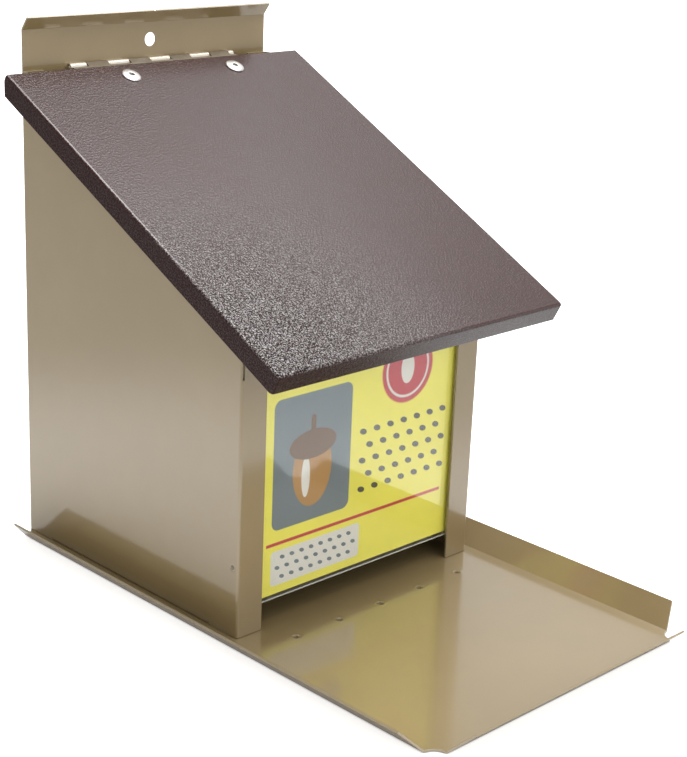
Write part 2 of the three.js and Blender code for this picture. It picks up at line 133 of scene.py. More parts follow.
class Board:
    """A shader node tree that is being wired up."""

    def __init__(self, tree: NodeTree) -> None:
        """Starts on an empty tree.

        Args:
            tree: The tree of a material, world or node group.
        """
        self.tree = tree
        self.tree.nodes.clear()

    def add(self, kind: str, feeds: dict[str | int, object] | None = None, **settings: object) -> Node:
        """Adds a node.

        Args:
            kind: The node's type, without the leading ShaderNode.
            feeds: Values or sockets for its inputs, by name or place.
            settings: Properties of the node.

        Returns:
            The new node.
        """
        node = self.tree.nodes.new(f"ShaderNode{kind}")
        for name, value in settings.items():
            setattr(node, name, value)
        for key, value in (feeds or {}).items():
            self.feed(node.inputs[key], value)
        return node

    def feed(self, socket: NodeSocket, value: object) -> None:
        """Links a socket to another, or sets its value.

        Args:
            socket: The input.
            value: A socket to link to it, or its value.
        """
        if isinstance(value, NodeSocket):
            self.tree.links.new(value, socket)
        else:
            socket.default_value = value

    def math(self, operation: str, a: Number, b: Number = 0.0, clamp: bool = False) -> NodeSocket:
        """Combines two values and returns the result's socket."""
        node = self.add("Math", {0: a, 1: b}, operation=operation, use_clamp=clamp)
        return node.outputs[0]

    def ramp(
        self, value: Number, low: float, high: float, to: tuple[float, float] = (0.0, 1.0)
    ) -> NodeSocket:
        """Maps a value smoothly from one range to another.

        Args:
            value: The value to map.
            low: Where its own range starts.
            high: Where its own range ends.
            to: The new range.

        Returns:
            The socket of the mapped value.
        """
        feeds = {"Value": value, "From Min": low, "From Max": high, "To Min": to[0], "To Max": to[1]}
        return self.add("MapRange", feeds, interpolation_type="SMOOTHSTEP").outputs["Result"]

    def blend(self, mask: Number, under: object, over: object) -> NodeSocket:
        """Lays one colour over another through a mask.

        Args:
            mask: Where the upper colour shows.
            under: The lower colour.
            over: The upper colour.

        Returns:
            The socket of the blended colour.
        """
        node = self.add("Mix", data_type="RGBA", clamp_factor=True)
        self.feed(node.inputs[0], mask)
        self.feed(node.inputs[6], under)
        self.feed(node.inputs[7], over)
        return node.outputs[2]

    def noise(self, vector: NodeSocket, scale: Number, detail: float = 2.0) -> NodeSocket:
        """Adds a noise texture and returns its value."""
        return self.add("TexNoise", {"Vector": vector, "Scale": scale, "Detail": detail}).outputs["Fac"]

    def axes(self, vector: NodeSocket) -> NodeOutputs:
        """Splits a vector into X, Y and Z."""
        return self.add("SeparateXYZ", {0: vector}).outputs

    def distance(self, a: NodeSocket, b: object) -> NodeSocket:
        """Returns how far two points lie apart."""
        return self.add("VectorMath", {0: a, 1: b}, operation="DISTANCE").outputs["Value"]

    def total(self, first: tuple[Number, Number], second: tuple[Number, Number]) -> NodeSocket:
        """Adds two values, each multiplied by its own share."""
        return self.math("ADD", self.math("MULTIPLY", *first), self.math("MULTIPLY", *second))

    def bump(
        self,
        height: NodeSocket,
        distance: float,
        under: NodeSocket | None = None,
        strength: float = 1.0,
    ) -> NodeSocket:
        """Turns a height into a normal.

        Args:
            height: The height, from 0 to 1.
            distance: How high 1 stands, in metres.
            under: The normal of the relief that it lies on.
            strength: How much of it counts.

        Returns:
            The socket of the normal.
        """
        feeds: dict[str | int, object] = {"Strength": strength, "Distance": distance, "Height": height}
        if under is not None:
            feeds["Normal"] = under
        return self.add("Bump", feeds).outputs[0]

    def group(self, tree: NodeTree, feeds: dict[str, object]) -> Node:
        """Places a node group with its values.

        Args:
            tree: The group's tree.
            feeds: Values or sockets for its inputs, by name.

        Returns:
            The group's node.
        """
        node = self.tree.nodes.new("ShaderNodeGroup")
        node.node_tree = tree
        for key, value in feeds.items():
            self.feed(node.inputs[key], value)
        return node


@dataclass(frozen=True)
class Effect:
    """A node group that several materials share.

    Attributes:
        name: The group's name.
        inputs: Each input's name and socket type.
        outputs: The names of its values.
        wire: A function that wires the board from the input node and returns the outputs.
    """

    name: str
    inputs: dict[str, str]
    outputs: tuple[str, ...]
    wire: Callable[[Board, Node], Sequence[NodeSocket]]

    def tree(self) -> NodeTree:
        """Builds the group once and returns it ever after.

        Returns:
            The group's tree.
        """
        made = bpy.data.node_groups.get(self.name)
        if made:
            return made
        tree = bpy.data.node_groups.new(self.name, "ShaderNodeTree")
        for name, kind in self.inputs.items():
            tree.interface.new_socket(name, in_out="INPUT", socket_type=f"NodeSocket{kind}")
        for name in self.outputs:
            tree.interface.new_socket(name, in_out="OUTPUT", socket_type="NodeSocketFloat")
        board = Board(tree)
        source = tree.nodes.new("NodeGroupInput")
        sink = tree.nodes.new("NodeGroupOutput")
        for name, socket in zip(self.outputs, self.wire(board, source)):
            tree.links.new(socket, sink.inputs[name])
        return tree


def layered_noise(
    board: Board, source: Node, finer: float, share: float, detail: tuple[float, float]
) -> NodeSocket:
    """Mixes a coarse noise with a finer one.

    Args:
        board: The group's tree.
        source: Its input node.
        finer: How many times as fine the second noise is.
        share: How much of the mixture it makes up.
        detail: The detail of the first noise and of the second.

    Returns:
        The mixture.
    """
    vector, scale = (source.outputs[name] for name in ("Vector", "Scale"))
    coarse = board.noise(vector, scale, detail[0])
    fine = board.noise(vector, board.math("MULTIPLY", scale, finer), detail[1])
    return board.total((coarse, 1.0 - share), (fine, share))


def wire_mottle(board: Board, source: Node) -> Sequence[NodeSocket]:
    """Broad patches with finer ones in them, from 0 to 1.

    Args:
        board: The group's tree.
        source: Its input node.

    Returns:
        The patches.
    """
    patches = layered_noise(board, source, finer=7.3, share=0.3, detail=(3.0, 2.0))
    return [board.ramp(patches, 0.33, 0.67)]


def wire_rim(board: Board, source: Node) -> Sequence[NodeSocket]:
    """The cut edges of the sheet, broken up by noise as thin paint is.

    Args:
        board: The group's tree.
        source: Its input node.

    Returns:
        The mask of the edges.
    """
    patch_scale, least = 260.0, 0.45
    edge = board.add("Attribute", attribute_name=CUT_EDGE).outputs["Fac"]
    noise = board.noise(source.outputs["Vector"], patch_scale, 3.0)
    patches = board.ramp(noise, 0.3, 0.6, (least, 1.0))
    return [board.math("MULTIPLY", board.math("MULTIPLY", edge, patches), source.outputs["Amount"])]


def wire_peel(board: Board, source: Node) -> Sequence[NodeSocket]:
    """The soft ripple of sprayed paint, from 0 to 1."""
    return [layered_noise(board, source, finer=2.7, share=0.25, detail=(1.0, 1.0))]


def wire_hammer(board: Board, source: Node) -> Sequence[NodeSocket]:
    """Small rounded grains with creases between them, their tops, and scattered spots for painted glints.

    Args:
        board: The group's tree.
        source: Its input node.

    Returns:
        The height of the grains, and the masks of their tops and of the painted glints.
    """
    warp_by, dome_width = 0.0006, 0.7
    dome_height, ripple_height = 0.75, 0.35
    ripple_scale, glint_scale = 0.8, 1.6
    vector, scale = (source.outputs[name] for name in ("Vector", "Scale"))
    warp = board.add("TexNoise", {"Vector": vector, "Scale": scale}).outputs["Color"]
    shift = board.add("VectorMath", {0: warp, "Scale": warp_by}, operation="SCALE").outputs[0]
    bent = board.add("VectorMath", {0: vector, 1: shift}, operation="ADD").outputs[0]
    cells = board.add("TexVoronoi", {"Vector": bent, "Scale": scale, "Smoothness": 0.3}, feature="SMOOTH_F1")
    dome = board.ramp(cells.outputs["Distance"], 0.0, dome_width, (1.0, 0.0))
    ripple = board.noise(vector, board.math("MULTIPLY", scale, ripple_scale), 1.0)
    height = board.total((dome, dome_height), (ripple, ripple_height))
    glints = board.noise(bent, board.math("MULTIPLY", scale, glint_scale), 1.0)
    return [height, board.ramp(dome, 0.35, 0.95), board.ramp(glints, 0.45, 0.61)]


def wire_spot(board: Board, source: Node) -> Sequence[NodeSocket]:
    """A soft round spot about a point, and the ring pressed up round it.

    Args:
        board: The group's tree.
        source: Its input node.

    Returns:
        The spot and the ring.
    """
    core, ring_end = 0.5, 1.6
    away = board.distance(source.outputs["Vector"], source.outputs["Centre"])
    reach = board.math("DIVIDE", away, source.outputs["Radius"])
    spot = board.ramp(reach, core, 1.0, (1.0, 0.0))
    return [spot, board.math("SUBTRACT", board.ramp(reach, 1.0, ring_end, (1.0, 0.0)), spot)]


def from_centre(board: Board, source: Node) -> NodeSocket:
    """Returns where a point of the card's face lies from the middle of a print."""
    ends = {0: source.outputs["Vector"], 1: source.outputs["Centre"]}
    return board.add("VectorMath", ends, operation="SUBTRACT").outputs[0]


def wire_ellipse(board: Board, source: Node) -> Sequence[NodeSocket]:
    """A crisp ellipse on the card's face.

    Args:
        board: The group's tree.
        source: Its input node.

    Returns:
        The mask of the ellipse.
    """
    soft = 0.03
    sides = {0: from_centre(board, source), 1: source.outputs["Half"]}
    unit = board.add("VectorMath", sides, operation="DIVIDE").outputs[0]
    reach = board.add("VectorMath", {0: unit}, operation="LENGTH").outputs["Value"]
    return [board.ramp(reach, 1.0 - soft, 1.0 + soft, (1.0, 0.0))]


def wire_slab(board: Board, source: Node) -> Sequence[NodeSocket]:
    """A crisp rectangle on the card's face, with rounded corners.

    Args:
        board: The group's tree.
        source: Its input node.

    Returns:
        The mask of the rectangle.
    """
    soft = 0.12
    place = board.axes(from_centre(board, source))
    half = board.axes(source.outputs["Half"])
    corner = source.outputs["Corner"]
    squares = []
    for axis in ("X", "Z"):
        inner = board.math("SUBTRACT", half[axis], corner)
        past = board.math("SUBTRACT", board.math("ABSOLUTE", place[axis]), inner)
        reach = board.math("MAXIMUM", past, 0.0)
        squares.append(board.math("MULTIPLY", reach, reach))
    gap = board.math("SUBTRACT", board.math("SQRT", board.math("ADD", *squares)), corner)
    return [board.ramp(gap, -soft, soft, (1.0, 0.0))]


def wire_seeds(board: Board, source: Node) -> Sequence[NodeSocket]:
    """Staggered rows of small seeds that fill a rectangle on the card's face.

    Args:
        board: The group's tree.
        source: Its input node.

    Returns:
        The mask of the seeds.
    """
    row_height, stagger_by = 0.8, 0.5
    slim, lean_by, short = 4.2, 1.6, 4.6
    seed_edge = (0.85, 1.1)
    region = board.group(
        SLAB.tree(), {name: source.outputs[name] for name in ("Vector", "Centre", "Half", "Corner")}
    )
    place = board.axes(from_centre(board, source))
    pitch = source.outputs["Pitch"]
    level = board.math("DIVIDE", place["Z"], board.math("MULTIPLY", pitch, row_height))
    row = board.math("ROUND", level)
    stagger = board.math("MULTIPLY", board.math("FLOORED_MODULO", row, 2.0), stagger_by)
    along = board.math("ADD", board.math("DIVIDE", place["X"], pitch), stagger)
    across = board.math("SUBTRACT", along, board.math("ROUND", along))
    rise = board.math("SUBTRACT", level, row)
    lean = board.total((across, slim), (rise, lean_by))
    height = board.math("MULTIPLY", rise, short)
    seed = board.ramp(board.total((lean, lean), (height, height)), *seed_edge, (1.0, 0.0))
    return [board.math("MULTIPLY", seed, region.outputs[0])]


MOTTLE = Effect("surface_mottle", {"Vector": "Vector", "Scale": "Float"}, ("Value",), wire_mottle)
RIM = Effect("cut_edge_mask", {"Vector": "Vector", "Amount": "Float"}, ("Mask",), wire_rim)
PEEL = Effect("orange_peel", {"Vector": "Vector", "Scale": "Float"}, ("Height",), wire_peel)
HAMMER = Effect(
    "hammered_grain", {"Vector": "Vector", "Scale": "Float"}, ("Height", "Crown", "Fleck"), wire_hammer
)
SPOT = Effect(
    "pressed_spot", {"Vector": "Vector", "Centre": "Vector", "Radius": "Float"}, ("Spot", "Ring"), wire_spot
)
ELLIPSE = Effect(
    "print_ellipse", {"Vector": "Vector", "Centre": "Vector", "Half": "Vector"}, ("Mask",), wire_ellipse
)
SLAB = Effect(
    "print_slab",
    {"Vector": "Vector", "Centre": "Vector", "Half": "Vector", "Corner": "Float"},
    ("Mask",),
    wire_slab,
)
SEEDS = Effect(
    "print_seed_rows",
    {"Vector": "Vector", "Centre": "Vector", "Half": "Vector", "Corner": "Float", "Pitch": "Float"},
    ("Mask",),
    wire_seeds,
)


# Finishes


def mottled(
    board: Board, at: NodeSocket, colour: Sequence[float], scale: float, tint: float
) -> tuple[NodeSocket, NodeSocket]:
    """Breaks a flat colour up into slightly lighter and darker patches.

    Args:
        board: The material that is being wired.
        at: Its coordinates.
        colour: The flat colour.
        scale: How many patches there are to a metre.
        tint: How much lighter and darker they are.

    Returns:
        The broken colour, and the patches as a value from 0 to 1.
    """
    patches = board.group(MOTTLE.tree(), {"Vector": at, "Scale": scale}).outputs[0]
    return board.blend(patches, shade(colour, 1.0 - tint), shade(colour, 1.0 + tint)), patches


def spread(board: Board, patches: NodeSocket, value: float, width: float) -> NodeSocket:
    """Returns a value that rises by a width where the patches are 1."""
    return board.math("ADD", value, board.math("MULTIPLY", patches, width))


@dataclass(frozen=True)
class Finish:
    """A finish with its material, made once and shared.

    Attributes:
        name: The material's name.
        slot: The record's material slot that it belongs to. It is not used in this script.
    """

    name: str
    slot: str

    def material(self) -> bpy.types.Material:
        """Returns the finish's material, making it the first time.

        Returns:
            The material.
        """
        made = bpy.data.materials.get(self.name)
        if made:
            return made
        made = bpy.data.materials.new(self.name)
        made.use_nodes = True
        board = Board(made.node_tree)
        coordinates = board.add("TexCoord").outputs["Object"]
        surface = self.wire(board, coordinates)
        sink = board.add("OutputMaterial")
        made.node_tree.links.new(surface, sink.inputs["Surface"])
        return made

    def wire(self, board: Board, at: NodeSocket) -> NodeSocket:
        """Wires the shader and returns its output."""
        raise NotImplementedError


@dataclass(frozen=True)
class Mark:
    """A small round pressed dimple in the paint, darkened with painted shade.

    Attributes:
        centre: Its middle, in metres.
        radius: Its radius, in metres.
        dark: How much of the paint's colour its painted shade takes away.
        pressed: How deep it is pressed in, in metres.
    """

    centre: tuple[float, float, float]
    radius: float
    dark: float
    pressed: float


@dataclass(frozen=True)
class SprayedPaint(Finish):
    """Semi-gloss paint on sheet steel, with spot-weld and drain-punch dimples darkened by painted shade.

    Attributes:
        colour: The paint.
        edge_colour: The paint on the sheet's cut edges.
        edge_wear: How much of that colour shows there.
        roughness: The paint's roughness under its gloss, and how much more it has in patches.
        index: The paint's index of refraction.
        gloss_index: The index of refraction of its gloss.
        gloss_roughness: The roughness of its gloss.
        dents: How many soft dents the sheet has to a metre, and how deep they are in metres.
        peel: How many ripples the paint has to a metre, and how high they are in metres.
        marks: The dimples in the paint, darkened with painted shade.
    """

    colour: str = "95815a"
    edge_colour: str = "a39b86"
    edge_wear: float = 0.35
    roughness: tuple[float, float] = (0.34, 0.06)
    index: float = 1.5
    gloss_index: float = 1.85
    gloss_roughness: float = 0.12
    dents: tuple[float, float] = (14.0, 0.00022)
    peel: tuple[float, float] = (420.0, 0.000012)
    marks: tuple[Mark, ...] = ()

    def wire(self, board: Board, at: NodeSocket) -> NodeSocket:
        """Wires the paint.

        Args:
            board: The material that is being wired.
            at: Its coordinates.

        Returns:
            The shader's output.
        """
        base = linear(self.colour)
        paint, patches = mottled(board, at, base, scale=9.0, tint=0.04)
        rim = board.group(RIM.tree(), {"Vector": at, "Amount": self.edge_wear}).outputs[0]
        colour = board.blend(rim, paint, linear(self.edge_colour))

        count, depth = self.dents
        normal = board.bump(board.noise(at, count, 0.0), depth)
        count, depth = self.peel
        ripple = board.group(PEEL.tree(), {"Vector": at, "Scale": count}).outputs[0]
        normal = board.bump(ripple, depth, normal)
        for mark in self.marks:
            spot = board.group(SPOT.tree(), {"Vector": at, "Centre": mark.centre, "Radius": mark.radius})
            # Painted shade: each pressed dimple is darker in its middle.
            colour = board.blend(spot.outputs["Spot"], colour, shade(base, 1.0 - mark.dark))
            height = board.math("SUBTRACT", spot.outputs["Ring"], spot.outputs["Spot"])
            normal = board.bump(height, mark.pressed, normal)
        shader = board.add(
            "BsdfPrincipled",
            {
                "Base Color": colour,
                "Roughness": spread(board, patches, *self.roughness),
                "IOR": self.index,
                "Coat Weight": 1.0,
                "Coat Roughness": self.gloss_roughness,
                "Coat IOR": self.gloss_index,
                "Normal": normal,
                "Coat Normal": normal,
            },
        )
        return shader.outputs[0]


@dataclass(frozen=True)
class LidRegions:
    """Masks that say where a point of the lid lies.

    Attributes:
        x: How far it lies to the right of the middle, in metres.
        above: 1 on the top and 0 on the skirts.
        skirt: 1 on the skirts and 0 on the top.
        thick: 1 in the front-left zone of the top, where glints and shade between grains are painted.
        bend: 1 along the bend from the top to the left skirt.
    """

    x: NodeSocket
    above: NodeSocket
    skirt: NodeSocket
    thick: NodeSocket
    bend: NodeSocket


@dataclass(frozen=True)
class HammeredPaint(Finish):
    """Dark paint in small rounded grains, with painted highlights and glints on them and painted shade.

    Attributes:
        colour: The paint between the grains.
        crown_highlight: The paint on them, lighter as a painted highlight.
        glint_colour: The painted glints scattered over them.
        edge_colour: The paint on the sheet's cut edges.
        edge_wear: How much of that colour shows there.
        crease_shade: How light the painted shade between front-left grains is, as a share of the colour.
        skirt_shade: How light the painted shade on the skirts is, as a share of the colour, and its cover.
        skirt_crown_highlight: How much of the crowns' painted highlight is left on the skirts.
        glints: How much the painted glints cover in the front-left zone, and on the skirts.
        base_roughness: The paint's roughness under its gloss, and how much more it has in patches.
        base_index: The paint's index of refraction.
        roughness: The roughness of its gloss.
        index: The index of refraction of its gloss.
        gloss: How much gloss the paint outside the front-left zone has on the top, and at the side edges.
        gloss_edge: Between which distances from the middle it changes from one to the other, in metres.
        skirt_gloss: What that gloss is multiplied by at the left and the right end of the skirts.
        half_width: How far those ends are from the middle, in metres.
        glint_gloss: How much gloss the painted glints have in the front-left zone.
        bend: The left bend's glossy band, from its outer to its inner edge, in metres.
        bend_fade: How far each edge of that band fades, in metres.
        grain: How many grains there are to a metre.
        depth: How high they stand, in metres.
        thin_relief: The share of that height outside the front-left zone, on the left and on the right.
        thin_between: Where it changes from one to the other, in metres.
        glint_zone_relief: How much of that height is added in the front-left zone.
        glint_zone_at: Where the front-left zone is full, in metres.
        glint_zone_reach: Where the zone starts to fade and where it ends, as distances from there.
        top: The plane of the top, as its normal and its distance from the origin.
        rim: How far under that plane the skirts begin, and how far under it the top ends, in metres.
    """

    colour: str = "35140f"
    crown_highlight: str = "46201a"
    glint_colour: str = "cdc6c3"
    edge_colour: str = "6e625c"
    edge_wear: float = 0.5
    crease_shade: float = 0.3
    skirt_shade: tuple[float, float] = (0.1, 0.5)
    skirt_crown_highlight: float = 0.3
    glints: tuple[float, float] = (0.32, 0.05)
    base_roughness: tuple[float, float] = (0.5, 0.1)
    base_index: float = 1.3
    roughness: float = 0.25
    index: float = 2.1
    gloss: tuple[float, float] = (0.5, 0.14)
    gloss_edge: tuple[float, float] = (0.0896, 0.0904)
    skirt_gloss: tuple[float, float] = (0.05, 1.35)
    half_width: float = 0.09
    glint_gloss: float = 0.9
    bend: tuple[float, float] = (-0.0901, -0.0889)
    bend_fade: float = 0.0004
    grain: float = 950.0
    depth: float = 0.00042
    thin_relief: tuple[float, float] = (0.34, 0.18)
    thin_between: tuple[float, float] = (-0.08, 0.05)
    glint_zone_relief: float = 0.7
    glint_zone_at: tuple[float, float, float] = (-0.09, -0.045, 0.14)
    glint_zone_reach: tuple[float, float] = (0.0, 0.14)
    top: tuple[Vector, float] = (Vector((0.0, 0.0, 1.0)), 0.0)
    rim: tuple[float, float] = (0.0012, 0.0003)

    def wire(self, board: Board, at: NodeSocket) -> NodeSocket:
        """Wires the paint.

        Args:
            board: The material that is being wired.
            at: Its coordinates.

        Returns:
            The shader's output.
        """
        grain = board.group(HAMMER.tree(), {"Vector": at, "Scale": self.grain}).outputs
        regions = self._regions(board, at)
        paint, patches = mottled(board, at, linear(self.colour), scale=11.0, tint=0.1)
        # Painted shade on skirts and front-left creases; painted highlights and glints on the grains.
        colour = self._painted_highlights(board, self._painted_shade(board, paint, regions), grain, regions)
        rim = board.group(RIM.tree(), {"Vector": at, "Amount": self.edge_wear}).outputs[0]
        height = board.math("MULTIPLY", grain["Height"], self._relief(board, regions))
        normal = board.bump(height, self.depth)
        shader = board.add(
            "BsdfPrincipled",
            {
                "Base Color": board.blend(rim, colour, linear(self.edge_colour)),
                "Roughness": spread(board, patches, *self.base_roughness),
                "IOR": self.base_index,
                "Normal": normal,
                "Coat Weight": self._gloss(board, grain["Fleck"], regions),
                "Coat Roughness": self.roughness,
                "Coat IOR": self.index,
                "Coat Normal": normal,
            },
        )
        return shader.outputs[0]

    def _regions(self, board: Board, at: NodeSocket) -> LidRegions:
        """Wires the masks.

        Args:
            board: The material that is being wired.
            at: Its coordinates.

        Returns:
            The masks.
        """
        x = board.axes(at)["X"]
        normal, distance = self.top
        level = board.add("VectorMath", {0: at, 1: normal}, operation="DOT_PRODUCT").outputs["Value"]
        above = board.ramp(level, *(distance - drop for drop in self.rim))
        # thick marks the front-left zone where the glints and the shade between grains are painted.
        away = board.distance(at, self.glint_zone_at)
        thick = board.math("MULTIPLY", board.ramp(away, *self.glint_zone_reach, (1.0, 0.0)), above)
        outer, inner = self.bend
        band = board.math(
            "MULTIPLY",
            board.ramp(x, outer, outer + self.bend_fade),
            board.ramp(x, inner - self.bend_fade, inner, (1.0, 0.0)),
        )
        bend = board.math("MULTIPLY", band, above)
        return LidRegions(x, above, board.math("SUBTRACT", 1.0, above), thick, bend)

    def _painted_shade(self, board: Board, paint: NodeSocket, regions: LidRegions) -> NodeSocket:
        """Paints shade on the skirts and between the grains in the front-left zone.

        Args:
            board: The material that is being wired.
            paint: The plain paint.
            regions: The masks.

        Returns:
            The colour with painted shade.
        """
        base = linear(self.colour)
        # Painted shade: darker skirts, and darker paint between the grains in the front-left zone.
        light, cover = self.skirt_shade
        skirt_shaded = board.blend(board.math("MULTIPLY", regions.skirt, cover), paint, shade(base, light))
        return board.blend(regions.thick, skirt_shaded, shade(base, self.crease_shade))

    def _painted_highlights(self, board: Board, paint: NodeSocket, grain: NodeOutputs, regions: LidRegions) -> NodeSocket:
        """Paints highlights on the crowns of the grains, and glints on them.

        Args:
            board: The material that is being wired.
            paint: The paint between the grains.
            grain: The values of the hammered grain.
            regions: The masks.

        Returns:
            The colour with painted highlights on the crowns and painted glints.
        """
        # Painted highlight: lighter crowns, full on the top and weaker on the skirts.
        share = board.ramp(regions.above, 0.0, 1.0, (self.skirt_crown_highlight, 1.0))
        crowns = board.math("MULTIPLY", grain["Crown"], share)
        crown_highlighted = board.blend(crowns, paint, linear(self.crown_highlight))
        # Painted glints: near-white spots on the grains, mostly in the front-left zone.
        cover = board.total(*zip((regions.thick, regions.skirt), self.glints))
        glints = board.math("MULTIPLY", grain["Fleck"], cover)
        return board.blend(glints, crown_highlighted, linear(self.glint_colour))

    def _gloss(self, board: Board, glint: NodeSocket, regions: LidRegions) -> NodeSocket:
        """Spreads the gloss: even off the front-left zone, on the painted glints in it, full on the left
        bend.

        Args:
            board: The material that is being wired.
            glint: Where the glints are painted.
            regions: The masks.

        Returns:
            How much gloss there is.
        """
        across = board.math("ABSOLUTE", regions.x)
        even = board.ramp(across, *self.gloss_edge, self.gloss)
        along = board.ramp(regions.x, -self.half_width, self.half_width, self.skirt_gloss)
        share = board.math("ADD", regions.above, board.math("MULTIPLY", along, regions.skirt))
        thin = board.math("MAXIMUM", board.math("MULTIPLY", even, share), regions.bend)
        on_thin = board.math("MULTIPLY", thin, board.math("SUBTRACT", 1.0, regions.thick))
        on_thick = board.math("MULTIPLY", board.math("MULTIPLY", glint, regions.thick), self.glint_gloss)
        return board.math("ADD", on_thin, on_thick, clamp=True)

    def _relief(self, board: Board, regions: LidRegions) -> NodeSocket:
        """Works out how much of their full height the grains have.

        Args:
            board: The material that is being wired.
            regions: The masks.

        Returns:
            The share of the height.
        """
        thin = board.ramp(regions.x, *self.thin_between, self.thin_relief)
        off_bend = board.math("MULTIPLY", thin, board.math("SUBTRACT", 1.0, regions.bend))
        return board.math("ADD", off_bend, board.math("MULTIPLY", regions.thick, self.glint_zone_relief))


@dataclass(frozen=True)
class BareMetal(Finish):
    """Plated or bright metal with a fine grain and a little tarnish.

    Attributes:
        colour: The clean metal.
        tarnish: The tarnish.
        roughness: The roughness of the clean metal.
        grain: How many scratches there are to a metre.
        patches: How many patches of tarnish there are to a metre.
        cover: How much of the metal's colour they take away.
        dulling: How much rougher they are.
        relief: How high the grain is, in metres.
    """

    colour: str = "d8d0c2"
    tarnish: str = "a39a8a"
    roughness: float = 0.3
    grain: float = 1800.0
    patches: float = 160.0
    cover: float = 0.5
    dulling: float = 0.12
    relief: float = 0.00001

    def wire(self, board: Board, at: NodeSocket) -> NodeSocket:
        """Wires the metal.

        Args:
            board: The material that is being wired.
            at: Its coordinates.

        Returns:
            The shader's output.
        """
        mottle = board.group(MOTTLE.tree(), {"Vector": at, "Scale": self.patches}).outputs[0]
        tarnished = board.math("MULTIPLY", mottle, self.cover)
        colour = board.blend(tarnished, linear(self.colour), linear(self.tarnish))
        rough = spread(board, mottle, self.roughness, self.dulling)
        grain = board.group(PEEL.tree(), {"Vector": at, "Scale": self.grain}).outputs[0]
        normal = board.bump(grain, self.relief)
        shader = board.add(
            "BsdfPrincipled",
            {"Base Color": colour, "Metallic": 1.0, "Roughness": rough, "Normal": normal},
        )
        return shader.outputs[0]


@dataclass(frozen=True)
class ClearSheet(Finish):
    """Clear acrylic that lets lamps through to what is behind it.

    Attributes:
        colour: What it lets through.
        index: Its index of refraction.
        haze: How many patches of haze there are to a metre.
        roughness: The roughness of clean acrylic, and how much rougher the haze is.
    """

    colour: str = "fdfefd"
    index: float = 1.49
    haze: float = 30.0
    roughness: tuple[float, float] = (0.02, 0.03)

    def wire(self, board: Board, at: NodeSocket) -> NodeSocket:
        """Wires the acrylic.

        Args:
            board: The material that is being wired.
            at: Its coordinates.

        Returns:
            The shader's output.
        """
        haze = board.group(MOTTLE.tree(), {"Vector": at, "Scale": self.haze}).outputs[0]
        shader = board.add(
            "BsdfPrincipled",
            {
                "Base Color": linear(self.colour),
                "Roughness": spread(board, haze, *self.roughness),
                "IOR": self.index,
                "Transmission Weight": 1.0,
            },
        )
        clear = board.add("BsdfTransparent", {"Color": linear(self.colour)})
        shadow = board.add("LightPath").outputs["Is Shadow Ray"]
        mix = board.add("MixShader", {0: shadow, 1: shader.outputs[0], 2: clear.outputs[0]})
        return mix.outputs[0]


@dataclass(frozen=True)
class SawnEdge(Finish):
    """The sawn edge of a clear sheet, frosted by the blade.

    Attributes:
        colour: The frosted edge.
        dark: How light its darkest marks are, as a share of that colour.
        roughness: Its roughness, and how much rougher the light marks are.
        blade: How many marks there are to a metre.
        relief: How high they are, in metres.
    """

    colour: str = "d9dcd6"
    dark: float = 0.85
    roughness: tuple[float, float] = (0.5, 0.1)
    blade: float = 900.0
    relief: float = 0.00002

    def wire(self, board: Board, at: NodeSocket) -> NodeSocket:
        """Wires the frosted edge.

        Args:
            board: The material that is being wired.
            at: Its coordinates.

        Returns:
            The shader's output.
        """
        marks = board.noise(at, self.blade)
        colour = board.blend(marks, shade(linear(self.colour), self.dark), linear(self.colour))
        rough = spread(board, marks, *self.roughness)
        normal = board.bump(marks, self.relief)
        shader = board.add("BsdfPrincipled", {"Base Color": colour, "Roughness": rough, "Normal": normal})
        return shader.outputs[0]


@dataclass(frozen=True)
class PrintLayer:
    """One flat shape of ink on the card.

    Attributes:
        shape: What is printed.
        centre: Its place across the card and up from the card's lower edge, in millimetres.
        half: Half its width and half its height.
        colour: The ink.
        corner: The radius of a slab's corners.
        pitch: How far apart seeds lie.
    """

    shape: PrintShape
    centre: tuple[float, float]
    half: tuple[float, float]
    colour: str
    corner: float = 0.4
    pitch: float = 9.0


